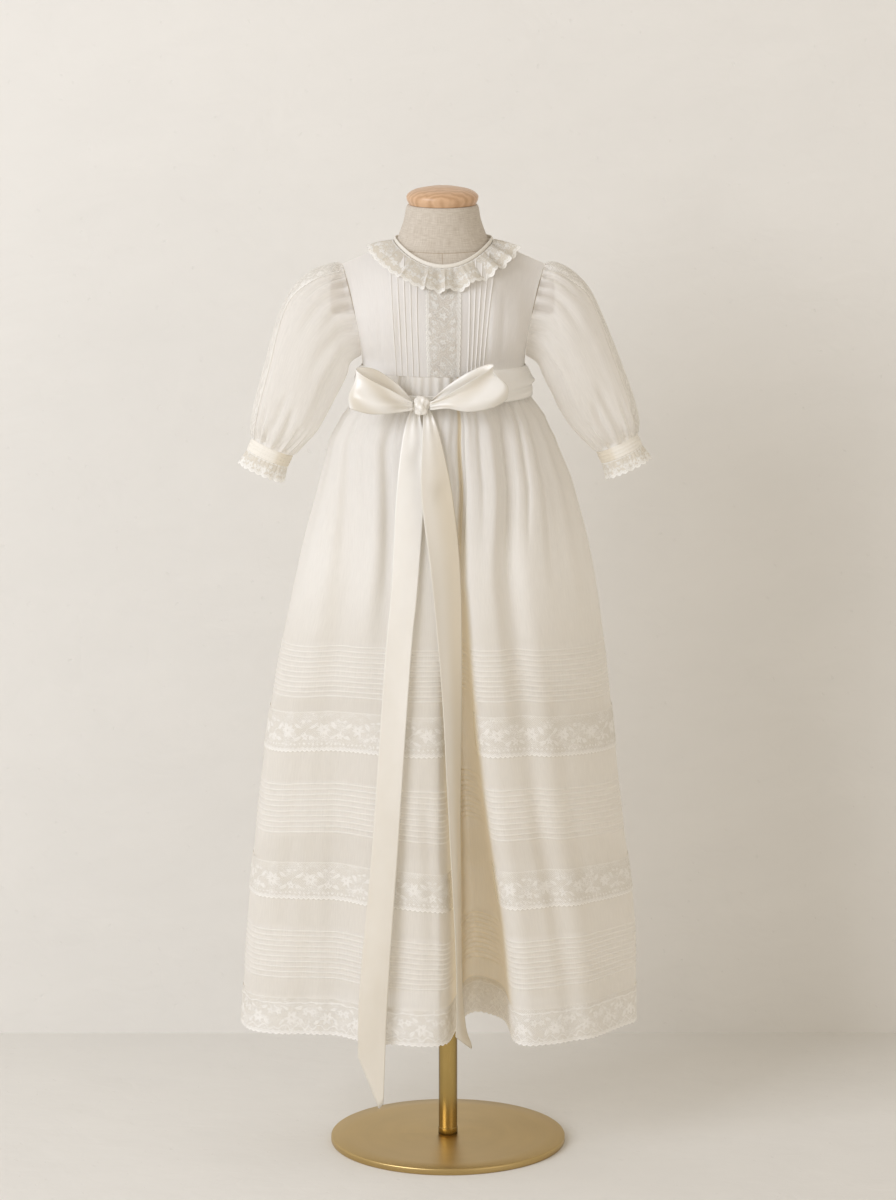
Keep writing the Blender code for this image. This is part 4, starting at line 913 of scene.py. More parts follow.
def add_piece(
    name, nodes, look, grid, normals, ring=False, uv=None, dense=1.0, painted_warm_shade=0.0, wall=None, sharp=None
):
    """A shell from a grid of points, riding on the root body in its look's slot.

    nodes are the CAD nodes that it replaces. Its two attributes for its look, density with painted light and
    shade, and warm painted shade, are each a number, or one for each point. wall is its thickness, if it has
    one, and sharp the angle in degrees of its sharp edges.
    """
    mesh = grid_mesh(name, grid, cloth_uv(grid, ring) if uv is None else uv, normals, ring)
    for label, values in (("dense", dense), ("painted_warm_shade", painted_warm_shade)):
        attribute = mesh.attributes.new(label, "FLOAT", "POINT")
        spread = np.broadcast_to(values, grid.shape[:2]).ravel()
        attribute.data.foreach_set("value", np.ascontiguousarray(spread, dtype=float))
    mesh.materials.append(look.material)
    mesh.shade_smooth()
    if sharp is not None:
        mesh.set_sharp_from_angle(angle=math.radians(sharp))
    made = bpy.data.objects.new(name, mesh)
    bpy.context.collection.objects.link(made)
    if wall is not None:
        thickness = made.modifiers.new("thickness", "SOLIDIFY")
        thickness.thickness = wall
        thickness.offset = 0.0
    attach(made, "root")
    if nodes:
        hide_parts(*nodes)
    return made


def close_ends(made):
    """Fills both open ends of a ring grid with one face each."""
    body = bmesh.new()
    body.from_mesh(made.data)
    rims = [edge for edge in body.edges if edge.is_boundary]
    bmesh.ops.holes_fill(body, edges=rims, sides=0)
    body.to_mesh(made.data)
    body.free()
    made.data.update()


# ---------------------------------------------------------------- skirt

SKIRT_STEPS = 13
SKIRT_LINES = np.arange(len(LINES) * SKIRT_STEPS) / SKIRT_STEPS
CLOTH_OUT = 0.7 * MM

# Soft creases on the skirt: at a fold line's number, from a top to a bottom height, with a depth
# (positive goes in) and a half width in metres, and how far the crease leans along the ring.
Crease = namedtuple("Crease", "line top bottom depth width lean")
SKIRT_CREASES = table(
    Crease,
    (2.4, 0.770, 0.560, 0.0022, 0.0060, 0.004),
    (3.5, 0.785, 0.640, 0.0018, 0.0040, -0.004),
    (4.6, 0.780, 0.540, 0.0020, 0.0050, 0.003),
    (7.5, 0.760, 0.600, 0.0015, 0.0040, 0.002),
    (8.6, 0.770, 0.560, 0.0022, 0.0035, 0.003),
    (12.0, 0.795, 0.560, 0.0026, 0.0016, 0.001),
    (13.5, 0.790, 0.640, 0.0018, 0.0022, 0.003),
    (14.1, 0.785, 0.600, -0.0020, 0.0045, 0.002),
    (14.9, 0.792, 0.560, 0.0036, 0.0026, 0.005),
    (15.4, 0.785, 0.600, -0.0018, 0.0035, 0.004),
    (15.8, 0.790, 0.610, 0.0030, 0.0026, 0.005),
    (16.4, 0.785, 0.560, 0.0026, 0.0034, 0.007),
    (14.2, 0.480, 0.150, 0.0014, 0.0090, 0.004),
    (15.0, 0.430, 0.140, 0.0016, 0.0100, -0.003),
    (16.2, 0.560, 0.140, 0.0018, 0.0100, 0.006),
    (2.2, 0.520, 0.140, 0.0030, 0.0100, -0.004),
    (3.4, 0.440, 0.150, 0.0018, 0.0080, 0.003),
    (7.3, 0.420, 0.140, 0.0020, 0.0060, 0.002),
    (19.5, 0.780, 0.500, 0.0022, 0.0060, 0.004),
    (20.6, 0.790, 0.600, 0.0026, 0.0050, -0.004),
    (21.6, 0.785, 0.460, 0.0024, 0.0060, 0.003),
    (22.6, 0.790, 0.560, 0.0028, 0.0050, 0.004),
    (23.5, 0.785, 0.420, -0.0020, 0.0060, -0.003),
    (24.5, 0.790, 0.580, 0.0026, 0.0050, 0.003),
    (25.4, 0.780, 0.440, 0.0022, 0.0070, -0.004),
    (26.5, 0.785, 0.600, 0.0024, 0.0055, 0.004),
    (20.2, 0.480, 0.140, 0.0032, 0.0100, 0.005),
    (22.3, 0.440, 0.140, 0.0034, 0.0100, -0.004),
    (24.4, 0.500, 0.140, 0.0030, 0.0090, 0.004),
    (26.6, 0.460, 0.140, 0.0030, 0.0100, -0.003),
)


def skirt_outline(height):
    """The skirt without folds at one height: its left, right, front and back, and how square it is."""
    heights = [ring.height for ring in SKIRT_RINGS]
    place = np.interp(-height, [-ring for ring in heights], range(len(heights)))
    found = spline([ring[1:] for ring in SKIRT_RINGS], [place])[0]
    fall = (WAIST - height) / (WAIST - HEM)
    return (*found, SQUARE_AT_WAIST + (SQUARE_AT_HEM - SQUARE_AT_WAIST) * min(max(fall, 0), 1))


def bulge(share, power=LEVEL_POWER):
    """How deep a rounded outline is, from 1 in its middle to 0 at its sides."""
    return (1 - min(abs(share), 1.0) ** power) ** (1 / power)


def fold_point(fold, height, outline, back):
    """Where a fold line is at one height, as (x, y)."""
    left, right, front, rear, power = outline
    if height >= HIP:
        t = float(smooth_step((WAIST - height) / (WAIST - HIP)))
        share = fold.waist + (fold.hip - fold.waist) * t
        inset = fold.waist_in + (fold.hip_in - fold.waist_in) * t
    else:
        t = (HIP - height) / (HIP - HEM)
        eased = 1 - (1 - t) ** 2
        share = fold.hip + (fold.hem - fold.hip) * t
        inset = fold.hip_in + (fold.hem_in - fold.hip_in) * eased
    across = (left + right) / 2 + (right - left) / 2 * share
    if back:
        return (across, rear * bulge(share, power) - inset)
    return (across, front * bulge(share, power) + inset)


def skirt_plain(heights):
    """The skirt's middle surface without small folds: points and level unit normals."""
    grid = []
    for height in heights:
        outline = skirt_outline(height)
        lines = np.array([fold_point(fold, height, outline, back) for fold, back in LINES])
        looped = np.concatenate([lines[-1:], lines, lines[:2]])
        ring = spline(looped, 1 + SKIRT_LINES)
        grid.append(np.column_stack([ring, np.full(len(ring), height)]))
    grid = np.array(grid)
    across = np.roll(grid, -1, axis=1) - np.roll(grid, 1, axis=1)
    return grid, unit(np.stack([across[..., 1], -across[..., 0], np.zeros_like(across[..., 0])], axis=-1))


def waist_places():
    """Where each column lies round the waist, from 0 to 1."""
    ring = skirt_plain([0.790])[0]
    along = lengths_along(ring, True)[0]
    return along[:-1] / along[-1]


def skirt_relief(grid, heights):
    """How far each point goes out: waist gathers, long soft folds and the creases."""
    places = waist_places()[None, :]
    level = np.asarray(heights)[:, None]
    near_waist = smooth_step((level - 0.690) / (WAIST - 0.690))
    wander = 1.6 * np.sin(TURN * 5 * places + 0.8) + 1.1 * np.sin(TURN * 9 * places + 2.2)
    fine = np.sin(TURN * 58 * places + wander) * (0.75 + 0.25 * np.sin(TURN * 13 * places))
    out = 1.2 * MM * near_waist**1.6 * fine + 1.7 * MM * smooth_step((level - 0.770) / 0.020)
    long_fade = smooth_step((level - 0.52) / 0.16) * smooth_step((0.812 - level) / 0.05)
    soft = np.sin(TURN * 27 * places + 1.4 * np.sin(TURN * 4 * places + 1.0) + 3.0 * (level - 0.8))
    out += 1.0 * MM * long_fade * soft * (0.6 + 0.4 * np.sin(TURN * 7 * places + 0.4))
    low = smooth_step((0.50 - level) / 0.25)
    out += 0.7 * MM * low * np.sin(TURN * 19 * places + 2.0 * np.sin(TURN * 3 * places) + 5.0 * level)
    along = lengths_along(grid, True)[:, :-1]
    for crease in SKIRT_CREASES:
        here = np.array([np.interp(crease.line, SKIRT_LINES, row) for row in along])[:, None]
        run = (crease.top - level) / (crease.top - crease.bottom)
        fade = smooth_step(run / 0.22) * smooth_step((1 - run) / 0.45)
        out -= crease.depth * fade * ridge(along - here - crease.lean * run, crease.width)
    return out


# Where the skirt's level lines sag: round a fold line's number, between two heights.
Sag = namedtuple("Sag", "line reach top bottom drop")
SKIRT_SAGS = table(
    Sag,
    (0.3, 3.2, 0.640, 0.240, 0.007),
    (17.6, 2.4, 0.640, 0.180, 0.009),
    (8.4, 1.8, 0.440, 0.150, 0.005),
)


def skirt_sag(heights):
    level = np.asarray(heights)[:, None]
    drop = np.zeros((len(level), len(SKIRT_LINES)))
    for sag in SKIRT_SAGS:
        apart = np.abs(SKIRT_LINES - sag.line)
        apart = np.minimum(apart, len(LINES) - apart)[None, :]
        run = (sag.top - level) / (sag.top - sag.bottom)
        fade = smooth_step(run / 0.3) * smooth_step((1 - run) / 0.4)
        drop += sag.drop * fade * np.exp(-((apart / sag.reach) ** 2) * 2)
    return drop


def skirt_surface(heights, extra=0.0):
    """The skirt's outer surface with its small folds; extra moves it further out."""
    grid, normals = skirt_plain(heights)
    out = CLOTH_OUT + skirt_relief(grid, heights) + extra
    surface = grid + normals * out[..., None]
    surface[..., 2] -= skirt_sag(heights)
    return surface, normals


# A row of the skirt: its height, how far it is lifted, and how dense the cloth is there.
SkirtRow = namedtuple("SkirtRow", "height lift dense")
# A tuck's rows from above its folded lip to below it, with heights and lifts in millimetres.
TUCK_PROFILE = table(
    SkirtRow,
    (1.5, 0.00, 0.10),
    (1.1, 0.34, 0.95),
    (0.1, 0.48, 1.00),
    (-0.2, 0.02, 0.10),
    (-0.7, 0.00, 0.05),
)


def skirt_rows():
    """The skirt's rows from the waist down: plain cloth, and tucks with a folded lip."""
    rows = []
    for top, bottom, step in ((WAIST, 0.700, 0.0055), (0.700, ORGANZA_EDGE, 0.0080)):
        count = round((top - bottom) / step)
        rows += [SkirtRow(top - (top - bottom) * i / count, 0.0, 0.0) for i in range(count)]
    rows.append(SkirtRow(ORGANZA_EDGE, 0.0, 0.6))
    rows = [row for row in rows if not any(b.bottom - 0.003 < row.height < b.top + 0.004 for b in TUCK_BANDS)]
    for band in TUCK_BANDS:
        pitch = (band.top - band.bottom) / (band.count - 1)
        for number in range(band.count):
            lip = band.top - pitch * number
            rows += [SkirtRow(lip + row.height * MM, row.lift * MM, row.dense) for row in TUCK_PROFILE]
    return sorted(rows, reverse=True)


def painted_pleat_shade(heights):
    """How much golden painted shade the cloth gets: inside the deep pleat, in the slit above it and a little
    at the waist.
    """
    middle = (LINE_OF["pleat_mouth"] + LINE_OF["pleat_out"]) / 2
    level = np.asarray(heights)[:, None]
    inside = smooth_step((2.55 - np.abs(SKIRT_LINES - middle)) / 0.8)[None, :]
    slit = smooth_step((0.95 - np.abs(SKIRT_LINES - middle)) / 0.5)[None, :]
    front = smooth_step((7.5 - np.abs(SKIRT_LINES - 8.0)) / 3.0)[None, :]
    low = 0.95 * inside * smooth_step((0.700 - level) / 0.18)
    high = 0.70 * slit * smooth_step((level - 0.560) / 0.08)
    waist = 0.06 * front * smooth_step((level - 0.775) / 0.012)
    return np.maximum(np.maximum(low, high), waist)


def make_skirt(looks):
    heights, lifts, dense = np.array(skirt_rows()).T
    level = heights[:, None]
    # Opaque where lined; the rise at the waist strip is painted light against the shade under the bow.
    lining_and_waist_light = 0.76 * smooth_step((level - 0.500) / 0.12) + 0.24 * smooth_step((level - 0.775) / 0.012)
    # Tuck lips made fainter and darker where the cloth turns away on the right: painted shade.
    turned = ridge(SKIRT_LINES - 18.2, 1.7)[None, :]
    dense = np.maximum(dense[:, None] * (1 - 0.6 * turned), lining_and_waist_light)
    grid, normals = skirt_surface(heights, lifts[:, None])
    uv = cloth_uv(grid, True)
    uv[:, :, 1] = WAIST - level
    look = looks["skirt_organza"]
    # Golden painted shade in the deep pleat and a little at the waist.
    painted_warm_shade = painted_pleat_shade(heights)
    add_piece("skirt", ("skirt_front", "skirt_back"), look, grid, normals, True, uv, dense, painted_warm_shade)


# A lace band round the skirt: its (top, bottom) heights; its width and the length of one motif in
# millimetres; how much fainter it is and how much golden painted shade it gets where the skirt gets golden
# painted shade; and its count of rows.
Band = namedtuple("Band", "name node look span width cell faint gold rows")
BANDS = table(
    Band,
    ("lace_upper", "lace_band_upper", "band_lace", LACE_UPPER, 42, 38, 1.05, 0.80, 9),
    ("lace_lower", "lace_band_lower", "band_lace_low", LACE_LOWER, 40, 38, 1.05, 0.80, 9),
    ("lace_hem", "hem_lace", "hem_lace_look", LACE_HEM, 39, 36, 0.00, 0.22, 10),
)
BAND_OUT = 0.9 * MM


def make_bands(looks):
    """The lace bands, just outside the skirt's cloth."""
    for band in BANDS:
        heights = np.linspace(*band.span, band.rows)
        grid, normals = skirt_surface(heights, BAND_OUT)
        uv = cloth_uv(grid, True, band.cell * MM, band.width * MM)
        painted_warm_shade = painted_pleat_shade(heights)
        # The lace fades and takes the skirt's golden painted shade inside the deep pleat.
        dense = np.clip(1.0 - band.faint * painted_warm_shade, 0.0, 1.0)
        add_piece(band.name, (band.node,), looks[band.look], grid, normals, True, uv, dense, band.gold * painted_warm_shade)


# ---------------------------------------------------------------- bodice

SEAM_DEPTH = 0.15 * MM
BODICE_OUT = 0.6 * MM
PANEL_OUT = 0.9 * MM
PANEL_WIDTH = 35.4 * MM
BACK_OPENING = 0.0019


def level_point(share, half, depth, height, side):
    return np.array([GOWN_X + half * share, side.sign * depth * bulge(share), height])


def chest_point(share, side):
    rise = math.sin(math.pi * abs(share)) ** 2
    depth = side.chest * bulge(share * CHEST_AT_ARMHOLE, CHEST_POWER) - ARMHOLE_PULL * rise
    return np.array([GOWN_X + CHEST_HALF * share, side.sign * depth, CHEST + ARMHOLE_RISE * rise])


def top_point(share, side):
    """On the bodice's top edge: the neck's curve, and past it the shoulder seam."""
    neck_share = NECK_HALF / CHEST_HALF
    if abs(share) <= neck_share:
        across = min(abs(share) / neck_share, 1.0)
        middle = 1 - across * across
        depth = max(side.neck * math.sqrt(middle), SEAM_DEPTH)
        return np.array([GOWN_X + CHEST_HALF * share, side.sign * depth, NECK_SIDE - side.neck_drop * middle])
    past = (abs(share) - neck_share) / (1 - neck_share)
    reach = NECK_HALF + (SHOULDER_HALF - NECK_HALF) * past
    height = NECK_SIDE + (SHOULDER_POINT - NECK_SIDE) * past
    return np.array([GOWN_X + math.copysign(reach, share), side.sign * SEAM_DEPTH, height])


def bodice_point(share, rise, side):
    """A curve from the underarm's level (rise 0) through the chest to the top edge (rise 1)."""
    low = level_point(share, UNDERARM_HALF, side.underarm, UNDERARM, side)
    middle = chest_point(share, side)
    top = top_point(share, side)
    found = low * (1 - rise) * (1 - 2 * rise) + middle * 4 * rise * (1 - rise) + top * rise * (2 * rise - 1)
    found[1] = side.sign * max(side.sign * found[1], SEAM_DEPTH)
    return found


def fanned(share, rise):
    """Where a line at this share runs at this height: the pintucks spread upwards, more on the right."""
    spread = 1.08 + 0.06 * rise if share < 0 else 0.74 + 0.40 * rise
    first, last = PINTUCK_SHARES[0], PINTUCK_SHARES[-1]
    moved = np.interp(abs(share), (0.0, first, last, 1.0), (0.0, first, first + (last - first) * spread, 1.0))
    return math.copysign(moved, share)


def straight(share, rise):
    return share


def bodice_grid(shares, side, bend=straight, rises=33):
    """Rows from the top edge down to the waist, and their normals; bend moves each row's shares."""
    rows = []
    for rise in np.linspace(1.0, 0.0, rises):
        rows.append([bodice_point(bend(share, rise), rise, side) for share in shares])
    low = np.array(rows[-1])
    waist = np.array([level_point(bend(share, 0.0), WAIST_HALF, side.waist, WAIST, side) for share in shares])
    waist[:, 1] = side.sign * np.maximum(side.sign * waist[:, 1], SEAM_DEPTH)
    for step in (1 / 3, 2 / 3, 1.0):
        rows.append(low + (waist - low) * step)
    grid = np.array(rows)
    normals = grid_normals(grid, False, np.array([GOWN_X, 0.0, CHEST - 0.02]))
    for column, share in enumerate(shares):
        if abs(bend(share, 1.0)) > NECK_HALF / CHEST_HALF:
            normals[0, column, 1] = 0.0
        if abs(share) == 1.0:
            normals[-4:, column] = (math.copysign(1.0, share), 0.0, 0.0)
    normals[-1, :, 2] = 0.0
    return grid, unit(normals)


PINTUCK_LIFT = 1.0 * MM
PINTUCK_COLUMNS = (-1.3, -0.8, -0.3, 0.0, 0.16, 0.32, 0.5, 0.9)

# Pulls towards the armholes: at a share of the half width, leaning outwards down the bodice, with a half
# width as a share, a lift in metres (negative goes in), and the row where it starts and how far it runs.
Pull = namedtuple("Pull", "share lean width lift start run")
ARMHOLE_PULLS = table(
    Pull,
    (0.78, 0.16, 0.05, 1.3 * MM, 0.25, 0.7),
    (0.66, 0.10, 0.035, -1.1 * MM, 0.35, 0.6),
)


def front_relief(shares, rows):
    """Pintucks: a raised rounded ridge at each share, and soft pulls towards the armholes."""
    dense = np.zeros(len(shares))
    for tuck in PINTUCK_SHARES:
        for sign in (-1, 1):
            apart = (shares - sign * tuck) * CHEST_HALF / MM
            dense += smooth_step((apart + 1.2) / 1.2) * (1 - smooth_step((apart - 0.15) / 0.35))
    lift = np.tile(PINTUCK_LIFT * dense, (rows, 1))
    lift[0] = 0.0
    places = np.linspace(0, 1, rows)[:, None]
    for side in (-1, 1):
        for pull in ARMHOLE_PULLS:
            apart = side * shares[None, :] - pull.share - pull.lean * places
            fade = np.sin(math.pi * np.clip((places - pull.start) / pull.run, 0, 1))
            lift += pull.lift * ridge(apart, pull.width) * fade
    return lift, np.clip(dense, 0, 1)


def make_bodice(looks):
    """The front with its pintucks, the lace panel on it, and the two backs with a placket."""
    tucks = [
        sign * tuck + offset * MM / CHEST_HALF
        for sign in (-1, 1)
        for tuck in PINTUCK_SHARES
        for offset in PINTUCK_COLUMNS
    ]
    shares = np.unique(np.round(np.concatenate([np.linspace(-1, 1, 101), tucks]), 5))
    grid, normals = bodice_grid(shares, FRONT, fanned)
    lift, dense = front_relief(shares, len(grid))
    surface = grid + normals * (BODICE_OUT + lift)[..., None]
    look = looks["bodice_organza"]
    add_piece("bodice_cloth", ("bodice_front",), look, surface, normals, dense=dense[None, :] * 0.5 + 0.5)

    grid, normals = bodice_grid(np.linspace(-PANEL_SHARE, PANEL_SHARE, 25), FRONT)
    surface = (grid[2:] + normals[2:] * (BODICE_OUT + PANEL_OUT)).transpose(1, 0, 2)
    uv = cloth_uv(surface, width=PANEL_WIDTH)
    turned = normals[2:].transpose(1, 0, 2)
    add_piece("panel_lace", ("lace_panel",), looks["panel_lace_look"], surface, turned, uv=uv)

    for name, sign in (("left", -1), ("right", 1)):
        shares = sign * np.linspace(BACK_OPENING, 1.0, 61)
        grid, normals = bodice_grid(shares, BACK)
        away = np.abs(shares)[None, :]
        placket = smooth_step((0.165 - away) / 0.02) * 0.5 * MM
        places = np.linspace(0, 1, len(grid))[:, None]
        pull = 0.7 * MM * np.sin(TURN * (away * 2.2 + places * 0.8 + 0.2 * sign))
        pull = pull * np.sin(math.pi * places) * smooth_step((away - 0.2) / 0.2)
        normals[:, 0, 0] = 0.0
        surface = grid + normals * (BODICE_OUT + placket + pull)[..., None]
        add_piece(f"bodice_back_cloth_{name}", (f"bodice_back_{name}",), look, surface, normals, dense=0.6)


def neck_frame(angle):
    """A point on the neck's edge and the level direction out of it."""
    side = FRONT if math.sin(angle) < 0 else BACK
    point = np.array([
        GOWN_X + NECK_HALF * math.cos(angle),
        side.neck * math.sin(angle),
        NECK_SIDE - side.neck_drop * math.sin(angle) ** 2,
    ])
    out = np.array([math.cos(angle) / NECK_HALF, math.sin(angle) / side.neck, 0.0])
    return point, out / np.linalg.norm(out)


def make_binding(looks):
    """A rolled binding round the neck: a small upright oval swept round it."""
    count = 160
    sides = 14
    grid = np.empty((sides + 1, count, 3))
    away = np.empty_like(grid)
    for number in range(count):
        angle = number * TURN / count
        point, out = neck_frame(angle)
        crimp = 1 + 0.05 * math.sin(46 * angle) + 0.03 * math.sin(71 * angle + 1)
        for side in range(sides + 1):
            turn = side * TURN / sides
            lift = BINDING_LIFT + BINDING_HEIGHT * (0.5 + 0.5 * math.cos(turn))
            lean = -BINDING_LEAN * (0.5 + 0.5 * math.cos(turn))
            thick = 0.55 * BINDING_WALL * math.sin(turn) * crimp
            grid[side, number] = point + UP * lift + out * (lean + thick)
            away[side, number] = out * math.sin(turn) + UP * math.cos(turn)
    add_piece("binding", ("neck_binding",), looks["fine_lawn"], grid, away, True)


def make_collar(looks):
    """The lace frill: gathers at the neck that open into uneven waves at the edge."""
    count = COLLAR_WAVES * 16
    rows = 13
    turns = np.linspace(math.pi / 2 + COLLAR_OPENING, math.pi / 2 + TURN - COLLAR_OPENING, count + 1)
    phase = np.linspace(0, COLLAR_WAVES * TURN, count + 1)
    wander = 0.55 * np.sin(phase / 3 + 0.6) + 0.4 * np.sin(phase / 5 + 2.0)
    size = 1.0 + 0.22 * np.sin(phase / 4.3 + 1.1)
    wave = np.sin(phase + wander) + 0.36 * np.sin(2 * (phase + wander) + 0.9)
    fine = np.sin(phase * 3.1 + 0.5)
    grid = np.empty((rows, count + 1, 3))
    normals = np.empty_like(grid)
    for column, angle in enumerate(turns):
        point, out = neck_frame(angle)
        turned = abs(math.sin(angle))
        added = COLLAR_SLOPE_FRONT * turned**2 if math.sin(angle) < 0 else COLLAR_SLOPE_BACK * turned
        slope = COLLAR_SLOPE_SIDE + added
        lying = out * math.cos(slope) - UP * math.sin(slope)
        facing = out * math.sin(slope) + UP * math.cos(slope)
        start = point + out * COLLAR_STAND_OFF + UP * COLLAR_LIFT
        along = np.cross(UP, out)
        for row in range(rows):
            reach = row / (rows - 1)
            rise = COLLAR_WAVE_HEIGHT * (wave[column] * size[column] * 1.25 + 1.05) * reach**0.85
            rise += 0.35 * MM * fine[column] * (1 - reach) + 0.6 * MM * math.sin(math.pi * reach)
            sway = COLLAR_SWAY * np.cos(phase[column] + wander[column] + 0.5) * reach
            grid[row, column] = start + lying * COLLAR_WIDTH * reach + facing * rise + along * sway
            normals[row, column] = facing
    uv = cloth_uv(grid, False, FRILL_CELL, COLLAR_WIDTH)
    add_piece("collar", ("collar_ruffle",), looks["frill_lace_look"], grid, normals, uv=uv)


# ---------------------------------------------------------------- sleeves and cuffs


def ring_grid(rings, angles):
    """Rows of points round each ring: angle 0 is its outermost point and 90 degrees its front."""
    rings = np.asarray(rings, float)
    outer = np.stack([rings[:, 0], np.zeros(len(rings)), rings[:, 1]], axis=1)
    inner = np.stack([rings[:, 2], np.zeros(len(rings)), rings[:, 3]], axis=1)
    middle = (outer + inner)[:, None, :] / 2
    half = (outer - inner)[:, None, :] / 2
    deep = np.zeros((len(rings), len(angles), 3))
    deep[..., 1] = -rings[:, 4:5] * np.sin(angles)[None, :]
    return middle + half * np.cos(angles)[None, :, None] + deep


def armhole_point(angle, right):
    side = FRONT if math.sin(angle) > 0 else BACK
    return bodice_point(1.0 if right else -1.0, (1 + math.cos(angle)) / 2, side)


# Soft folds of a sleeve: at an angle in degrees from its outer line, from one share of its length to
# another, with a depth in metres (positive goes in), a half width in degrees and a lean in degrees.
SleeveFold = namedtuple("SleeveFold", "angle start end depth width lean")
SLEEVE_FOLDS = table(
    SleeveFold,
    (62, 0.02, 0.50, 0.0030, 7, 10),
    (84, 0.00, 0.34, 0.0026, 6, 6),
    (40, 0.03, 0.42, 0.0022, 6, 6),
    (104, 0.04, 0.62, 0.0028, 8, -8),
    (22, 0.04, 0.55, 0.0018, 7, 4),
    (128, 0.10, 0.75, 0.0026, 9, -6),
    (70, 0.62, 1.00, 0.0042, 8, -14),
    (98, 0.66, 1.00, 0.0040, 7, 10),
    (46, 0.70, 1.00, 0.0030, 6, -8),
    (120, 0.72, 1.00, 0.0030, 7, 8),
    (24, 0.74, 1.00, 0.0024, 6, -4),
    (-36, 0.03, 0.50, 0.0028, 8, -8),
    (-64, 0.02, 0.36, 0.0026, 7, -6),
    (-92, 0.05, 0.60, 0.0030, 9, 8),
    (-120, 0.10, 0.66, 0.0026, 9, 6),
    (-42, 0.68, 1.00, 0.0034, 7, 8),
    (-76, 0.64, 1.00, 0.0038, 8, -8),
    (-108, 0.70, 1.00, 0.0030, 8, 6),
)

SLEEVE_COLUMNS = 144
SLEEVE_ROWS = 81


def sleeve_surface(rings, right):
    """A sleeve's gathered and folded cloth from armhole to cuff, its normals and its ridges."""
    angles = ring_turns(SLEEVE_COLUMNS)
    shift = np.array([SLEEVE_SEAM_SHIFT if right else -SLEEVE_SEAM_SHIFT, 0.0, 0.0])
    head = np.array([armhole_point(angle, right) for angle in angles]) + shift
    stations = np.concatenate([head[None], ring_grid(rings, angles)])
    grid = spline(stations, np.linspace(0, len(stations) - 1, SLEEVE_ROWS))
    normals = grid_normals(grid, True)
    normals[0, :, 0] = 0.0
    normals = unit(normals)
    share = np.linspace(0, 1, SLEEVE_ROWS)[:, None]
    turn = angles[None, :]
    upper = (1 + np.cos(turn)) / 2
    wander = 1.2 * np.sin(2 * turn + 0.7) + 0.9 * np.sin(5 * turn + 1.9)
    head_fade = smooth_step(share / 0.03) * np.exp(-share / 0.13)
    cuff_fade = smooth_step((1 - share) / 0.02) * np.exp(-(1 - share) / 0.12)
    out = 2.2 * MM * head_fade * upper**2.2 * np.sin(26 * turn + wander)
    out += 1.7 * MM * cuff_fade * np.sin(27 * turn + 1.3 * wander)
    out += 1.2 * MM * np.sin(math.pi * share) * np.sin(7 * turn + 2.4 * share + wander)
    for fold in SLEEVE_FOLDS:
        run = np.clip((share - fold.start) / (fold.end - fold.start), 0, 1)
        early = smooth_step(share / 0.03) if fold.start < 0.05 else smooth_step(run / 0.25)
        late = 1.0 if fold.end == 1.0 else smooth_step((1 - run) / 0.5)
        apart = (np.degrees(turn) - fold.angle - fold.lean * (run - 0.5) + 180) % 360 - 180
        out -= fold.depth * (early * late) * ridge(apart, fold.width)
    out[-1] = 0.0
    ridges = smooth_step(0.5 + 0.9 * np.sin(26 * turn + wander))
    return grid + normals * (0.6 * MM + out)[..., None], normals, ridges


def make_sleeve_strip(label, grid, normals, looks):
    """The lace strip down the outside, a little wider at both ends than in the middle."""
    strip, strip_normals = [], []
    for row in range(3, SLEEVE_ROWS):
        run = row / (SLEEVE_ROWS - 1)
        last_column = 12.5 - 6.0 * math.exp(-(((run - 0.42) / 0.20) ** 2))
        places = np.linspace(-4.0, last_column, 16)
        low = np.floor(places).astype(int)
        part = (places - low)[:, None]
        around = grid[row] + normals[row] * 0.9 * MM
        strip.append(around[low % SLEEVE_COLUMNS] * (1 - part) + around[(low + 1) % SLEEVE_COLUMNS] * part)
        strip_normals.append(normals[row, low % SLEEVE_COLUMNS])
    surface = np.array(strip).transpose(1, 0, 2)
    turned = np.array(strip_normals).transpose(1, 0, 2)
    uv = cloth_uv(surface, width=SLEEVE_STRIP_WIDTH)
    nodes = (f"sleeve_lace_{label}",)
    add_piece(f"sleeve_strip_{label}", nodes, looks["strip_lace_look"], surface, turned, uv=uv)


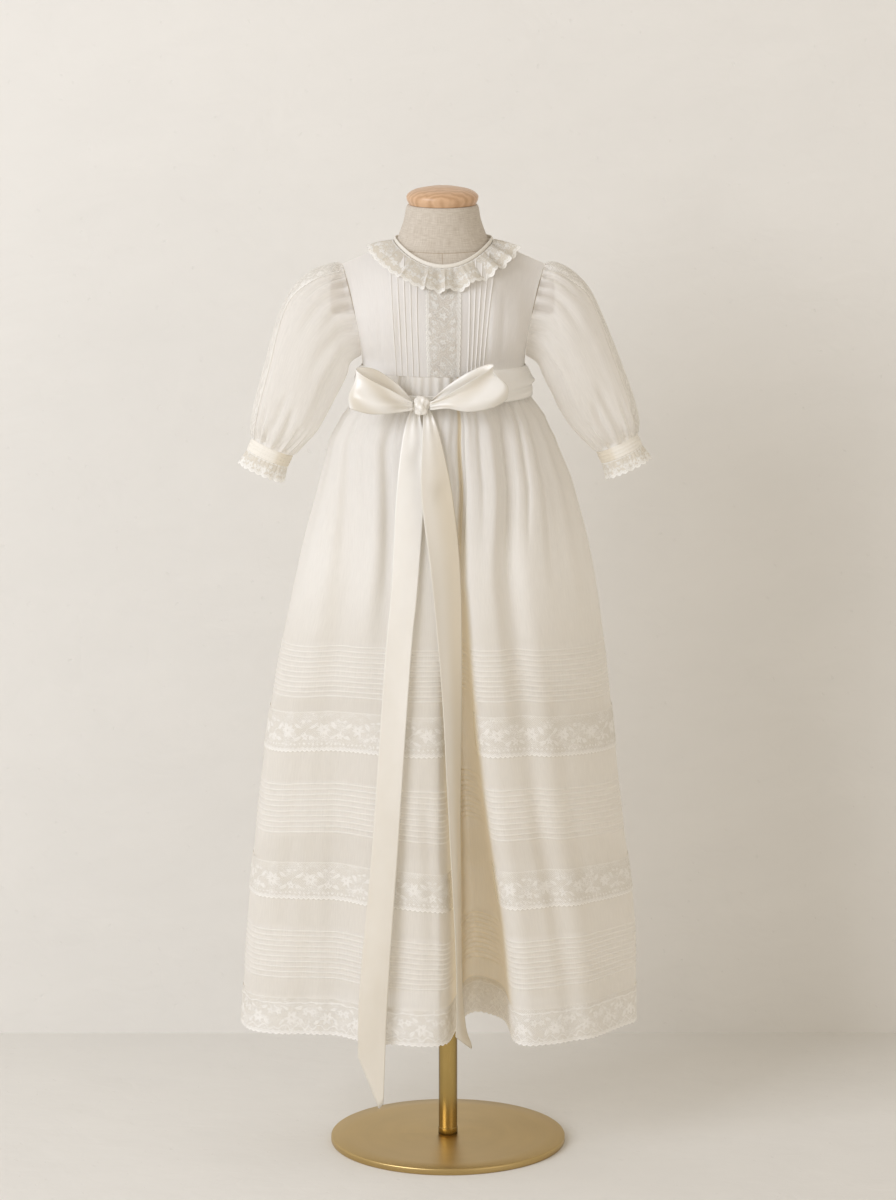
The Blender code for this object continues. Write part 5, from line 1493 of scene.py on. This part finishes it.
def make_cuff(label, last, right, looks):
    """A cuff band with three soft ridges and a gathered lace frill below it, from the sleeve's last ring."""
    outer = np.array([last.outer_x, 0.0, last.outer_z])
    inner = np.array([last.inner_x, 0.0, last.inner_z])
    across = (outer - inner) / np.linalg.norm(outer - inner)
    down = np.array([-across[2], 0.0, across[0]])
    if down[2] > 0:
        down = -down

    def cuff_row(distance, flare):
        a = outer + down * distance + across * flare
        b = inner + down * distance - across * flare
        return SleeveRing(a[0], a[2], b[0], b[2], last.half_depth + flare)

    turn = ring_turns(128)
    shares = np.linspace(0, 1, 31)
    band = ring_grid([cuff_row(CUFF_START + CUFF_LENGTH * share, 0.0) for share in shares], turn)
    normals = grid_normals(band, True)
    bulging = np.sin(math.pi * shares[:, None])
    ridges = np.maximum(0.0, np.sin(TURN * 3.5 * shares[:, None] - 0.5)) ** 0.7
    lift = 0.40 * MM * ridges * bulging**0.4 + 0.15 * MM * np.sin(33 * turn + 1.0)[None, :] * bulging
    band = band + normals * (0.7 * MM + lift)[..., None]
    # Tan painted shade on the side that faces the body.
    inner_side = 0.75 * smooth_step((-np.cos(turn) - 0.15) / 0.35)[None, :]
    nodes = (f"cuff_{label}",)
    add_piece(f"cuff_band_{label}", nodes, looks["fine_lawn"], band, normals, True, None, 0.8, inner_side)

    turn = ring_turns(224)
    shares = np.linspace(0, 1, 13)
    start = CUFF_START + CUFF_LENGTH + 0.1 * MM
    rings = [cuff_row(start + CUFF_LACE_LENGTH * share, CUFF_LACE_FLARE * share**0.8) for share in shares]
    frill = ring_grid(rings, turn)
    normals = grid_normals(frill, True)
    reach = shares[:, None]
    phase = 8 * turn + 0.7 * np.sin(3 * turn) + (0.8 if right else 0.0)
    wave = np.sin(phase) + 0.25 * np.sin(2 * phase + 0.8)
    out = 1.1 * MM * wave[None, :] * reach**0.9 + 0.3 * MM * np.sin(31 * turn)[None, :] * (1 - reach)
    frill = frill + normals * out[..., None]
    uv = cloth_uv(frill, True, FRILL_CELL, CUFF_FRILL_WIDTH)
    nodes = (f"cuff_lace_{label}",)
    add_piece(f"cuff_frill_{label}", nodes, looks["cuff_lace_look"], frill, normals, True, uv)


def make_sleeve(label, rings, right, looks):
    grid, normals, ridges = sleeve_surface(rings, right)
    share = np.linspace(0, 1, SLEEVE_ROWS)[:, None]
    upper = (1 + np.cos(ring_turns(SLEEVE_COLUMNS)))[None, :] / 2
    dense = 1.1 * np.exp(-share / 0.11) * upper * ridges + 0.8 * np.exp(-(1 - share) / 0.035)
    look = looks["sleeve_organza"]
    name = f"sleeve_cloth_{label}"
    add_piece(name, (f"sleeve_{label}",), look, grid, normals, True, dense=np.clip(dense, 0, 1))
    make_sleeve_strip(label, grid, normals, looks)
    make_cuff(label, rings[-1], right, looks)


# ---------------------------------------------------------------- sash and bow


def make_sash(looks):
    """The sash with soft pleats: tight at the waist, drawn narrow at the knot, leaning in at its top."""
    columns, rows = 240, 25
    grid = np.empty((rows, columns, 3))
    normals = np.empty_like(grid)
    knot_x = KNOT[0] - GOWN_X
    for column in range(columns):
        angle = column * TURN / columns
        front = math.sin(angle) < 0
        depth = SASH_FRONT if front else SASH_BACK
        across = SASH_HALF_WIDTH * math.cos(angle)
        apart = abs(across - knot_x) - SASH_DRAWN
        drawn = 1 - float(smooth_step(apart / SASH_DRAWN_FADE)) if front else 0.0
        top = SASH_TOP_SIDE + (SASH_TOP_FRONT - SASH_TOP_SIDE) * abs(math.sin(angle))
        top += (SASH_KNOT_TOP - top) * drawn
        bottom = SASH_BOTTOM + (SASH_KNOT_BOTTOM - SASH_BOTTOM) * drawn
        out = np.array([math.cos(angle) / SASH_HALF_WIDTH, math.sin(angle) / depth, 0.0])
        out /= np.linalg.norm(out)
        crumple = 0.5 + 0.5 * drawn + 0.9 * math.exp(-((angle % TURN - TURN + 0.25) / 0.35) ** 2)
        for row in range(rows):
            share = row / (rows - 1)
            pleats = 0.9 * MM * math.sin(TURN * 2.5 * share + 1.2 * math.sin(2 * angle) + 0.5)
            pleats += 0.6 * MM * math.sin(TURN * 4.0 * share + 2.4 * math.sin(3 * angle + 1.0))
            pleats += 0.5 * MM * math.sin(9 * angle + 5 * share)
            place = np.array([GOWN_X + across, depth * math.sin(angle), top + (bottom - top) * share])
            lean = (SASH_LEAN + SASH_LEAN_SIDE * math.cos(angle) ** 2) * (1 - drawn)
            lean *= max(0.0, 1 - share / 0.45) ** 1.5
            rise = pleats * crumple * math.sin(math.pi * share) ** 0.6
            grid[row, column] = place + out * (0.4 * MM - lean + rise)
            normals[row, column] = out
    add_piece("waist_sash", ("sash",), looks["ribbon_satin"], grid, normals, True, dense=0.95, wall=0.4 * MM)


def make_loop(name, node, stations, looks, seed, shade, twisted=False):
    """A bow loop with pleats that fan out from the knot and a dished face.

    seed shifts its pleats. shade is the painted lightness of its front, before painted lighter and darker
    streaks of sheen, and its far end is painted light. A twisted loop has a groove and a ridge at the knot,
    with painted shade in the groove and a painted highlight on the ridge; another one is painted lighter
    there.
    """
    places = places_along(stations, RIBBON_STEPS)
    low = spline([(s.low_x, s.y, s.low_z) for s in stations], places)
    high = spline([(s.high_x, s.y, s.high_z) for s in stations], places)
    share = np.linspace(0, 1, 29)[:, None, None]
    grid = low[None] + (high - low)[None] * share
    normals = grid_normals(grid, False, grid.mean(axis=(0, 1)))
    across = share[:, :, 0]
    run = (places / (len(stations) - 1))[None, :]
    from_knot = np.minimum(run, 1 - run) * 2
    fade = np.exp(-from_knot / 0.32) * smooth_step(from_knot / 0.03)
    open_part = smooth_step(from_knot / 0.35)
    pleat = 1.3 * MM * fade * np.sin(TURN * (2.4 * across + 0.15 * seed) + 2.2 * from_knot)
    pleat += 1.3 * MM * np.sin(TURN * (0.9 * across + 0.8 * run + 0.2 * seed)) * open_part
    dish = 2.8 * MM * np.sin(TURN * (across - 0.02)) * open_part
    # Painted light: lighter towards the far fold of the loop.
    light = shade + (0.95 - shade) * smooth_step((from_knot - 0.72) / 0.22)
    # Painted sheen: lighter and darker streaks across the open part.
    painted_sheen_streaks = np.sin(TURN * (0.95 * across - 1.3 * from_knot + 0.2 * seed + 0.3))
    light = light + 0.40 * painted_sheen_streaks * open_part
    if twisted:
        front = smooth_step((run - 0.62) / 0.08) * smooth_step(from_knot / 0.04) * ridge(from_knot, 0.42)
        groove = front * ridge(across - 0.74, 0.11)
        crest = front * ridge(across - 0.46, 0.12)
        pleat += 2.6 * MM * crest - 3.2 * MM * groove
        # Painted shade in the groove and a painted highlight on the ridge.
        light += 0.6 * crest - 0.9 * groove
    else:
        # Painted light near the knot, against the knot's shade.
        light += 0.6 * np.exp(-from_knot / 0.14)
    grid = grid + normals * (pleat + dish)[..., None]
    dense = np.clip(light, 0, 1)
    add_piece(name, (node,), looks["ribbon_satin"], grid, normals, dense=dense, wall=0.4 * MM)


def make_knot(looks):
    """The knot: a full band of satin with deep slanting pleats."""
    columns, rows = 96, 41
    centre = np.array(KNOT)
    grid = np.empty((rows, columns, 3))
    for row in range(rows):
        level = math.radians(-84 + 168 * row / (rows - 1))
        for column in range(columns):
            angle = column * TURN / columns
            swirl = math.sin(3 * angle + 3.4 * level + 0.6)
            pleat = 1 + 0.15 * math.copysign(abs(swirl) ** 0.7, swirl)
            pleat += 0.05 * math.sin(8 * angle - 3.1 * level + 1.0) + 0.05 * math.sin(5 * level + 2 * angle)
            across = KNOT_RADII[0] * math.cos(level) ** 0.8 * math.cos(angle) * pleat
            deep = KNOT_RADII[1] * math.cos(level) ** 0.8 * math.sin(angle) * pleat
            high = KNOT_RADII[2] * math.sin(level) * (0.96 + 0.04 * pleat)
            grid[row, column] = centre + np.array([across, deep, high])
    normals = grid_normals(grid, True, centre)
    add_piece("knot", ("bow_knot",), looks["ribbon_satin"], grid, normals, True, dense=0.75)


# A hanging ribbon: how far its left edge comes forward and its right edge goes back, in metres; the seed
# of its waves; how far down it is dented; its painted lightness at the knot and at the end, how much painted
# shade darkens its right edge, and how much tan painted shade that edge gets.
Tail = namedtuple("Tail", "name node stations cut forward back seed dent light end_light shade tan")
TAILS = table(
    Tail,
    ("ribbon_left", "tail_left", TAIL_LEFT, TAIL_LEFT_CUT, -0.0010, -0.0015, 0.6, 0.055, 1, 0.1, 0, 0),
    ("ribbon_right", "tail_right", TAIL_RIGHT, TAIL_RIGHT_CUT, 0.0075, 0.0015, 2, 0.09, 1, 0.5, 0.8, 0.85),
)


def make_tail(tail, looks):
    places = places_along(tail.stations, RIBBON_STEPS)
    left = spline([(s.left_x, s.left_y, s.height) for s in tail.stations], places)
    right = spline([(s.right_x, s.right_y, s.height) for s in tail.stations], places)
    share = np.linspace(0, 1, 21)[None, :, None]
    grid = left[:, None] + (right - left)[:, None] * share
    across = share[:, :, 0]
    last = grid[-1, :, 2]
    ends = (tail.cut.left, tail.cut.point, tail.cut.right)
    cut = np.interp(across[0], (0.0, tail.cut.point_share, 1.0), ends)
    start = last.mean() + CUT_LENGTH
    below = np.minimum(grid[..., 2] - start, 0.0)
    grid[..., 2] += below * ((start - cut) / (start - last) - 1)[None, :]
    normals = grid_normals(grid, False, grid.mean(axis=1, keepdims=True) + np.array([0.0, 0.05, 0.0]))
    normals[:, :, 2] = 0.0
    normals = unit(normals)
    fall = lengths_down(grid)[:, None]
    gathers = np.exp(-fall / 0.020) * smooth_step(fall / 0.006)
    wave = 1.3 * MM * gathers * np.sin(TURN * (2.2 * across + 0.1 * tail.seed))
    wave += 0.8 * MM * np.sin(fall / 0.075 + tail.seed) * np.sin(math.pi * across)
    wave += 0.5 * MM * np.sin(fall / 0.033 + 2.0 * tail.seed + 2.5 * across)
    turned = tail.forward * (1 - across) ** 2 - tail.back * across**2
    wave += turned * smooth_step(fall / 0.06) * (1 - smooth_step((fall - 0.16) / 0.22))
    wave -= 2.4 * MM * ridge(fall - tail.dent, 0.012) * ridge(across - 0.68, 0.30)
    grid = grid + normals * wave[..., None]
    # Painted shade: darker towards the end and on the right edge, with tan there.
    light = tail.light + (tail.end_light - tail.light) * np.clip(fall / 0.62, 0, 1)
    light = light - tail.shade * smooth_step((across - 0.15) / 0.75) * smooth_step(fall / 0.03)
    painted_warm_shade = tail.tan * (0.35 + 0.65 * smooth_step((across - 0.25) / 0.6)) * smooth_step((fall - 0.02) / 0.08)
    dense = np.clip(light, 0, 1)
    look = looks["ribbon_satin"]
    add_piece(tail.name, (tail.node,), look, grid, normals, dense=dense, painted_warm_shade=painted_warm_shade, wall=0.35 * MM)


# ---------------------------------------------------------------- dress form and stand


def oval_grid(rings, columns, steps):
    """Rows of points on a smooth oval form through rings."""
    values = spline([tuple(ring) for ring in rings], places_along(rings, steps))
    turn = ring_turns(columns)
    grid = np.empty((len(values), columns, 3))
    grid[..., 0] = FORM_X + values[:, 1:2] * np.cos(turn)
    grid[..., 1] = FORM_Y + values[:, 2:3] * np.sin(turn)
    grid[..., 2] = values[:, 0:1]
    return grid


def add_padded(name, nodes, look, grid, normals):
    """A closed and filled piece of the dress form."""
    made = add_piece(name, nodes, look, grid, normals, True)
    close_ends(made)


def make_torso(look):
    """Linen torso and neck, with grooves along the seams round the neck and down front and back."""
    columns = 144
    grid = oval_grid(FORM_RINGS, columns, 8)
    normals = grid_normals(grid, True)
    turn = ring_turns(columns)[None, :]
    height = grid[..., 2]
    seam = ridge(height - SEAM_HEIGHT - SEAM_DIP * MM * np.sin(turn), 0.0011)
    front = ridge((turn - 1.5 * math.pi) * 0.040, 0.0009) * smooth_step((SEAM_HEIGHT - height) / 0.002)
    back = ridge((turn - 0.5 * math.pi) * 0.040, 0.0009)
    grid = grid - normals * (0.7 * MM * np.clip(seam + front + back, 0, 1))[..., None]
    add_padded("torso_linen", ("form_torso",), look, grid, normals)


# A shoulder stub from the inside to its rounded end: how far out from its reach, and its share of the radius.
STUB_PROFILE = (
    (-0.0510, 1.0),
    (-0.0260, 1.0),
    (-0.0040, 1.0),
    (-0.0016, 0.965),
    (0.0, 0.86),
    (0.0003, 0.5),
    (0.0004, 0.02),
)


def make_stub(label, side, look):
    turn = ring_turns(64)
    grid = np.empty((len(STUB_PROFILE), len(turn), 3))
    for row, (past, scale) in enumerate(STUB_PROFILE):
        radius = STUB_RADIUS * scale
        grid[row, :, 0] = FORM_X + side * (STUB_REACH + past)
        grid[row, :, 1] = radius * np.cos(turn)
        grid[row, :, 2] = STUB_HEIGHT + radius * np.sin(turn)
    normals = grid_normals(grid, True, np.array([FORM_X, 0.0, STUB_HEIGHT]))
    add_padded(f"stub_{label}", (), look, grid, normals)


def make_form(looks):
    make_torso(looks["form_linen"])
    for label, side in (("left", -1), ("right", 1)):
        make_stub(label, side, looks["form_linen"])
    grid = oval_grid(CAP_RINGS, 96, 8)
    normals = grid_normals(grid, True)
    close_ends(add_piece("neck_cap", ("form_neck_cap",), looks["turned_wood"], grid, normals, True))


# The plate and the pole from their middle or top: (radius, height).
PLATE_PROFILE = (
    (0.012, BASE_THICKNESS),
    (0.060, BASE_THICKNESS),
    (0.100, BASE_THICKNESS),
    (BASE_RADIUS - 0.0016, BASE_THICKNESS),
    (BASE_RADIUS - 0.0009, BASE_THICKNESS - 0.0003),
    (BASE_RADIUS - 0.0003, BASE_THICKNESS - 0.0009),
    (BASE_RADIUS, BASE_THICKNESS - 0.0016),
    (BASE_RADIUS, 0.0012),
    (BASE_RADIUS - 0.0008, 0.0),
)
POLE_PROFILE = (
    (POLE_RADIUS, FORM_BOTTOM),
    (POLE_RADIUS, 0.3),
    (POLE_RADIUS, 0.0145),
    (POLE_RADIUS + 0.0004, 0.0142),
    (POLE_RADIUS + 0.0004, BASE_THICKNESS),
)


def make_turned(name, node, profile, look, columns):
    """A turned metal piece round the origin's upright."""
    turn = ring_turns(columns)
    grid = np.empty((len(profile), columns, 3))
    for row, (radius, height) in enumerate(profile):
        grid[row, :, 0] = radius * np.cos(turn)
        grid[row, :, 1] = radius * np.sin(turn)
        grid[row, :, 2] = height
    normals = grid_normals(grid, True, np.array([0.0, 0.0, profile[len(profile) // 2][1]]))
    close_ends(add_piece(name, (node,), look, grid, normals, True, sharp=40))


def make_stand(looks):
    make_turned("stand_plate", "base_plate", PLATE_PROFILE, looks["turned_brass"], 192)
    make_turned("stand_pole", "pole", POLE_PROFILE, looks["drawn_brass"], 96)


# ---------------------------------------------------------------- room, lights and camera

WALL_Y = 0.387
ROOM_HALF = 5
FLOOR_FRONT = -6
FLOOR_BACK = 6
WALL_HEIGHT = 4


def plaster(name, one_sided):
    """Hand trowelled plaster with broad patches, strokes and pits; one_sided, it is clear from behind."""
    g = Graph(name)
    x, y, z = g.place()
    cloud = g.noise(x / 300.0, y / 300.0, z / 300.0, detail=3.0, roughness=0.6)
    stroke = g.noise(x / 90.0 + cloud * 3.0, y / 60.0, z / 45.0 + cloud * 3.0, detail=3.0, roughness=0.6)
    crease = abs(g.noise(x / 70.0, y / 70.0, z / 70.0 + 8.0, detail=2.0) - 0.5).below(0.010, 0.012)
    pits = 1.0 - g.noise(x / 9.0, y / 9.0, z / 9.0, detail=1.0).below(0.74, 0.02)
    shade = (cloud * 0.6 + stroke * 0.6 - crease * 0.05 - pits * 0.25 - 0.1).clamped()
    light = tuple(min(value * 1.03, 1.0) for value in WALL_COLOUR)
    dark = tuple(value * 0.95 for value in WALL_COLOUR)
    g.set(Base_Color=g.blend(shade, dark, light), Roughness=0.9, Specular_IOR_Level=0.1)
    g.bump(stroke - crease * 0.04 - pits * 0.2, 5.0 * MM, 0.30)
    if one_sided:
        side = g.node("NewGeometry")
        g.see_through(g.shader.outputs[0], 1.0 - Signal(g, side.outputs["Backfacing"]))
    return g.material


def make_room():
    left, right = -ROOM_HALF, ROOM_HALF
    floor = [(left, FLOOR_FRONT, 0), (right, FLOOR_FRONT, 0), (right, FLOOR_BACK, 0), (left, FLOOR_BACK, 0)]
    wall = [(left, WALL_Y, 0), (right, WALL_Y, 0), (right, WALL_Y, WALL_HEIGHT), (left, WALL_Y, WALL_HEIGHT)]
    for name, points, one_sided in (("floor", floor, False), ("wall", wall, True)):
        mesh = bpy.data.meshes.new(name)
        mesh.from_pydata(points, [], [(0, 1, 2, 3)])
        mesh.materials.append(plaster(f"{name}_plaster", one_sided))
        made = bpy.data.objects.new(name, mesh)
        bpy.context.collection.objects.link(made)


# Square soft lights: where each is, where it points, its width in metres, its watts and its colour.
Light = namedtuple("Light", "name place target size power colour")
LIGHTS = table(
    Light,
    ("key", (-2.6, -2.5, 2.05), (0.0, 0.1, 0.46), 2.3, 82.0, (0.955, 1.000, 1.100)),
    ("fill", (2.6, -2.8, 1.40), (0.0, 0.0, 0.55), 2.4, 14.0, (1.000, 0.935, 0.860)),
)
WORLD_COLOUR = (1.0, 0.915, 0.80, 1.0)
WORLD_STRENGTH = 0.61


def make_lights():
    for light in LIGHTS:
        data = bpy.data.lights.new(light.name, "AREA")
        data.shape = "RECTANGLE"
        data.size = data.size_y = light.size
        data.energy = light.power
        data.color = light.colour
        made = bpy.data.objects.new(light.name, data)
        made.location = light.place
        made.rotation_euler = (Vector(light.target) - Vector(light.place)).to_track_quat("-Z", "Y").to_euler()
        bpy.context.collection.objects.link(made)
    world = bpy.data.worlds.new("studio")
    world.use_nodes = True
    background = world.node_tree.nodes["Background"]
    background.inputs["Color"].default_value = WORLD_COLOUR
    background.inputs["Strength"].default_value = WORLD_STRENGTH
    bpy.context.scene.world = world
    bpy.context.scene.view_settings.view_transform = "Standard"


# Fitted to the ellipse of the round base, the pole and the floor's line in the photograph.
CAMERA_PLACE = (0.0, -5.0, 1.5844)
CAMERA_DOWN = math.radians(11.512)
CAMERA_LENS = 152.16
CAMERA_SENSOR = 36.0


def make_camera():
    data = bpy.data.cameras.new("photo_camera")
    data.lens = CAMERA_LENS
    data.sensor_width = CAMERA_SENSOR
    data.clip_end = 50.0
    made = bpy.data.objects.new("photo_camera", data)
    made.location = CAMERA_PLACE
    made.rotation_euler = (math.radians(90) - CAMERA_DOWN, 0.0, 0.0)
    bpy.context.collection.objects.link(made)
    bpy.context.scene.camera = made


# ---------------------------------------------------------------- the whole scene

# The cut of each cloth piece before it was gathered or hung: width round or across and length in metres,
# what it rests on, and its area in square metres where it isn't the product of the two. A {side} stands
# for left and right.
Cut = namedtuple("Cut", "piece width length held rests_on area", defaults=(None,))
CUTS = table(
    Cut,
    ("bodice_cloth", 0.245, 0.150, "stretched", "torso_linen"),
    ("bodice_back_cloth_{side}", 0.120, 0.150, "stretched", "torso_linen"),
    ("panel_lace", 0.036, 0.130, "stretched", "bodice_cloth"),
    ("binding", 0.290, 0.012, "stretched", "bodice_cloth"),
    ("collar", 0.500, 0.027, "gathered", "binding"),
    ("sleeve_cloth_{side}", 0.270, 0.185, "gathered", "bodice_cloth"),
    ("sleeve_strip_{side}", 0.032, 0.185, "stretched", "sleeve_cloth_{side}"),
    ("cuff_band_{side}", 0.142, 0.0125, "stretched", "sleeve_cloth_{side}"),
    ("cuff_frill_{side}", 0.165, 0.018, "gathered", "cuff_band_{side}"),
    ("skirt", 1.225, 0.645, "gathered", "bodice_cloth", 0.653),
    ("lace_upper", 1.040, 0.042, "stretched", "skirt"),
    ("lace_lower", 1.150, 0.040, "stretched", "skirt"),
    ("lace_hem", 1.225, 0.039, "stretched", "skirt"),
    ("waist_sash", 0.500, 0.040, "folded", "bodice_cloth skirt"),
    ("loop_left", 0.140, 0.040, "folded", "knot"),
    ("loop_right", 0.145, 0.040, "folded", "knot"),
    ("knot", 0.050, 0.014, "folded", "waist_sash"),
    ("ribbon_left", 0.030, 0.710, "hung", "knot"),
    ("ribbon_right", 0.030, 0.660, "hung", "knot"),
)


def main():
    looks = make_looks()
    make_camera()
    make_lights()
    make_room()
    make_stand(looks)
    make_form(looks)
    make_bodice(looks)
    make_binding(looks)
    make_collar(looks)
    make_sleeve("left", SLEEVE_LEFT, False, looks)
    make_sleeve("right", SLEEVE_RIGHT, True, looks)
    make_skirt(looks)
    make_bands(looks)
    make_sash(looks)
    make_loop("loop_left", "bow_loop_left", LOOP_LEFT, looks, 1.0, 0.35)
    make_loop("loop_right", "bow_loop_right", LOOP_RIGHT, looks, 2.6, 0.75, twisted=True)
    make_knot(looks)
    for tail in TAILS:
        make_tail(tail, looks)
    for number in (1, 2, 3):
        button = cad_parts[f"button_{number}"]
        button.material_slots[0].material = looks["button_pearl"].material


main()
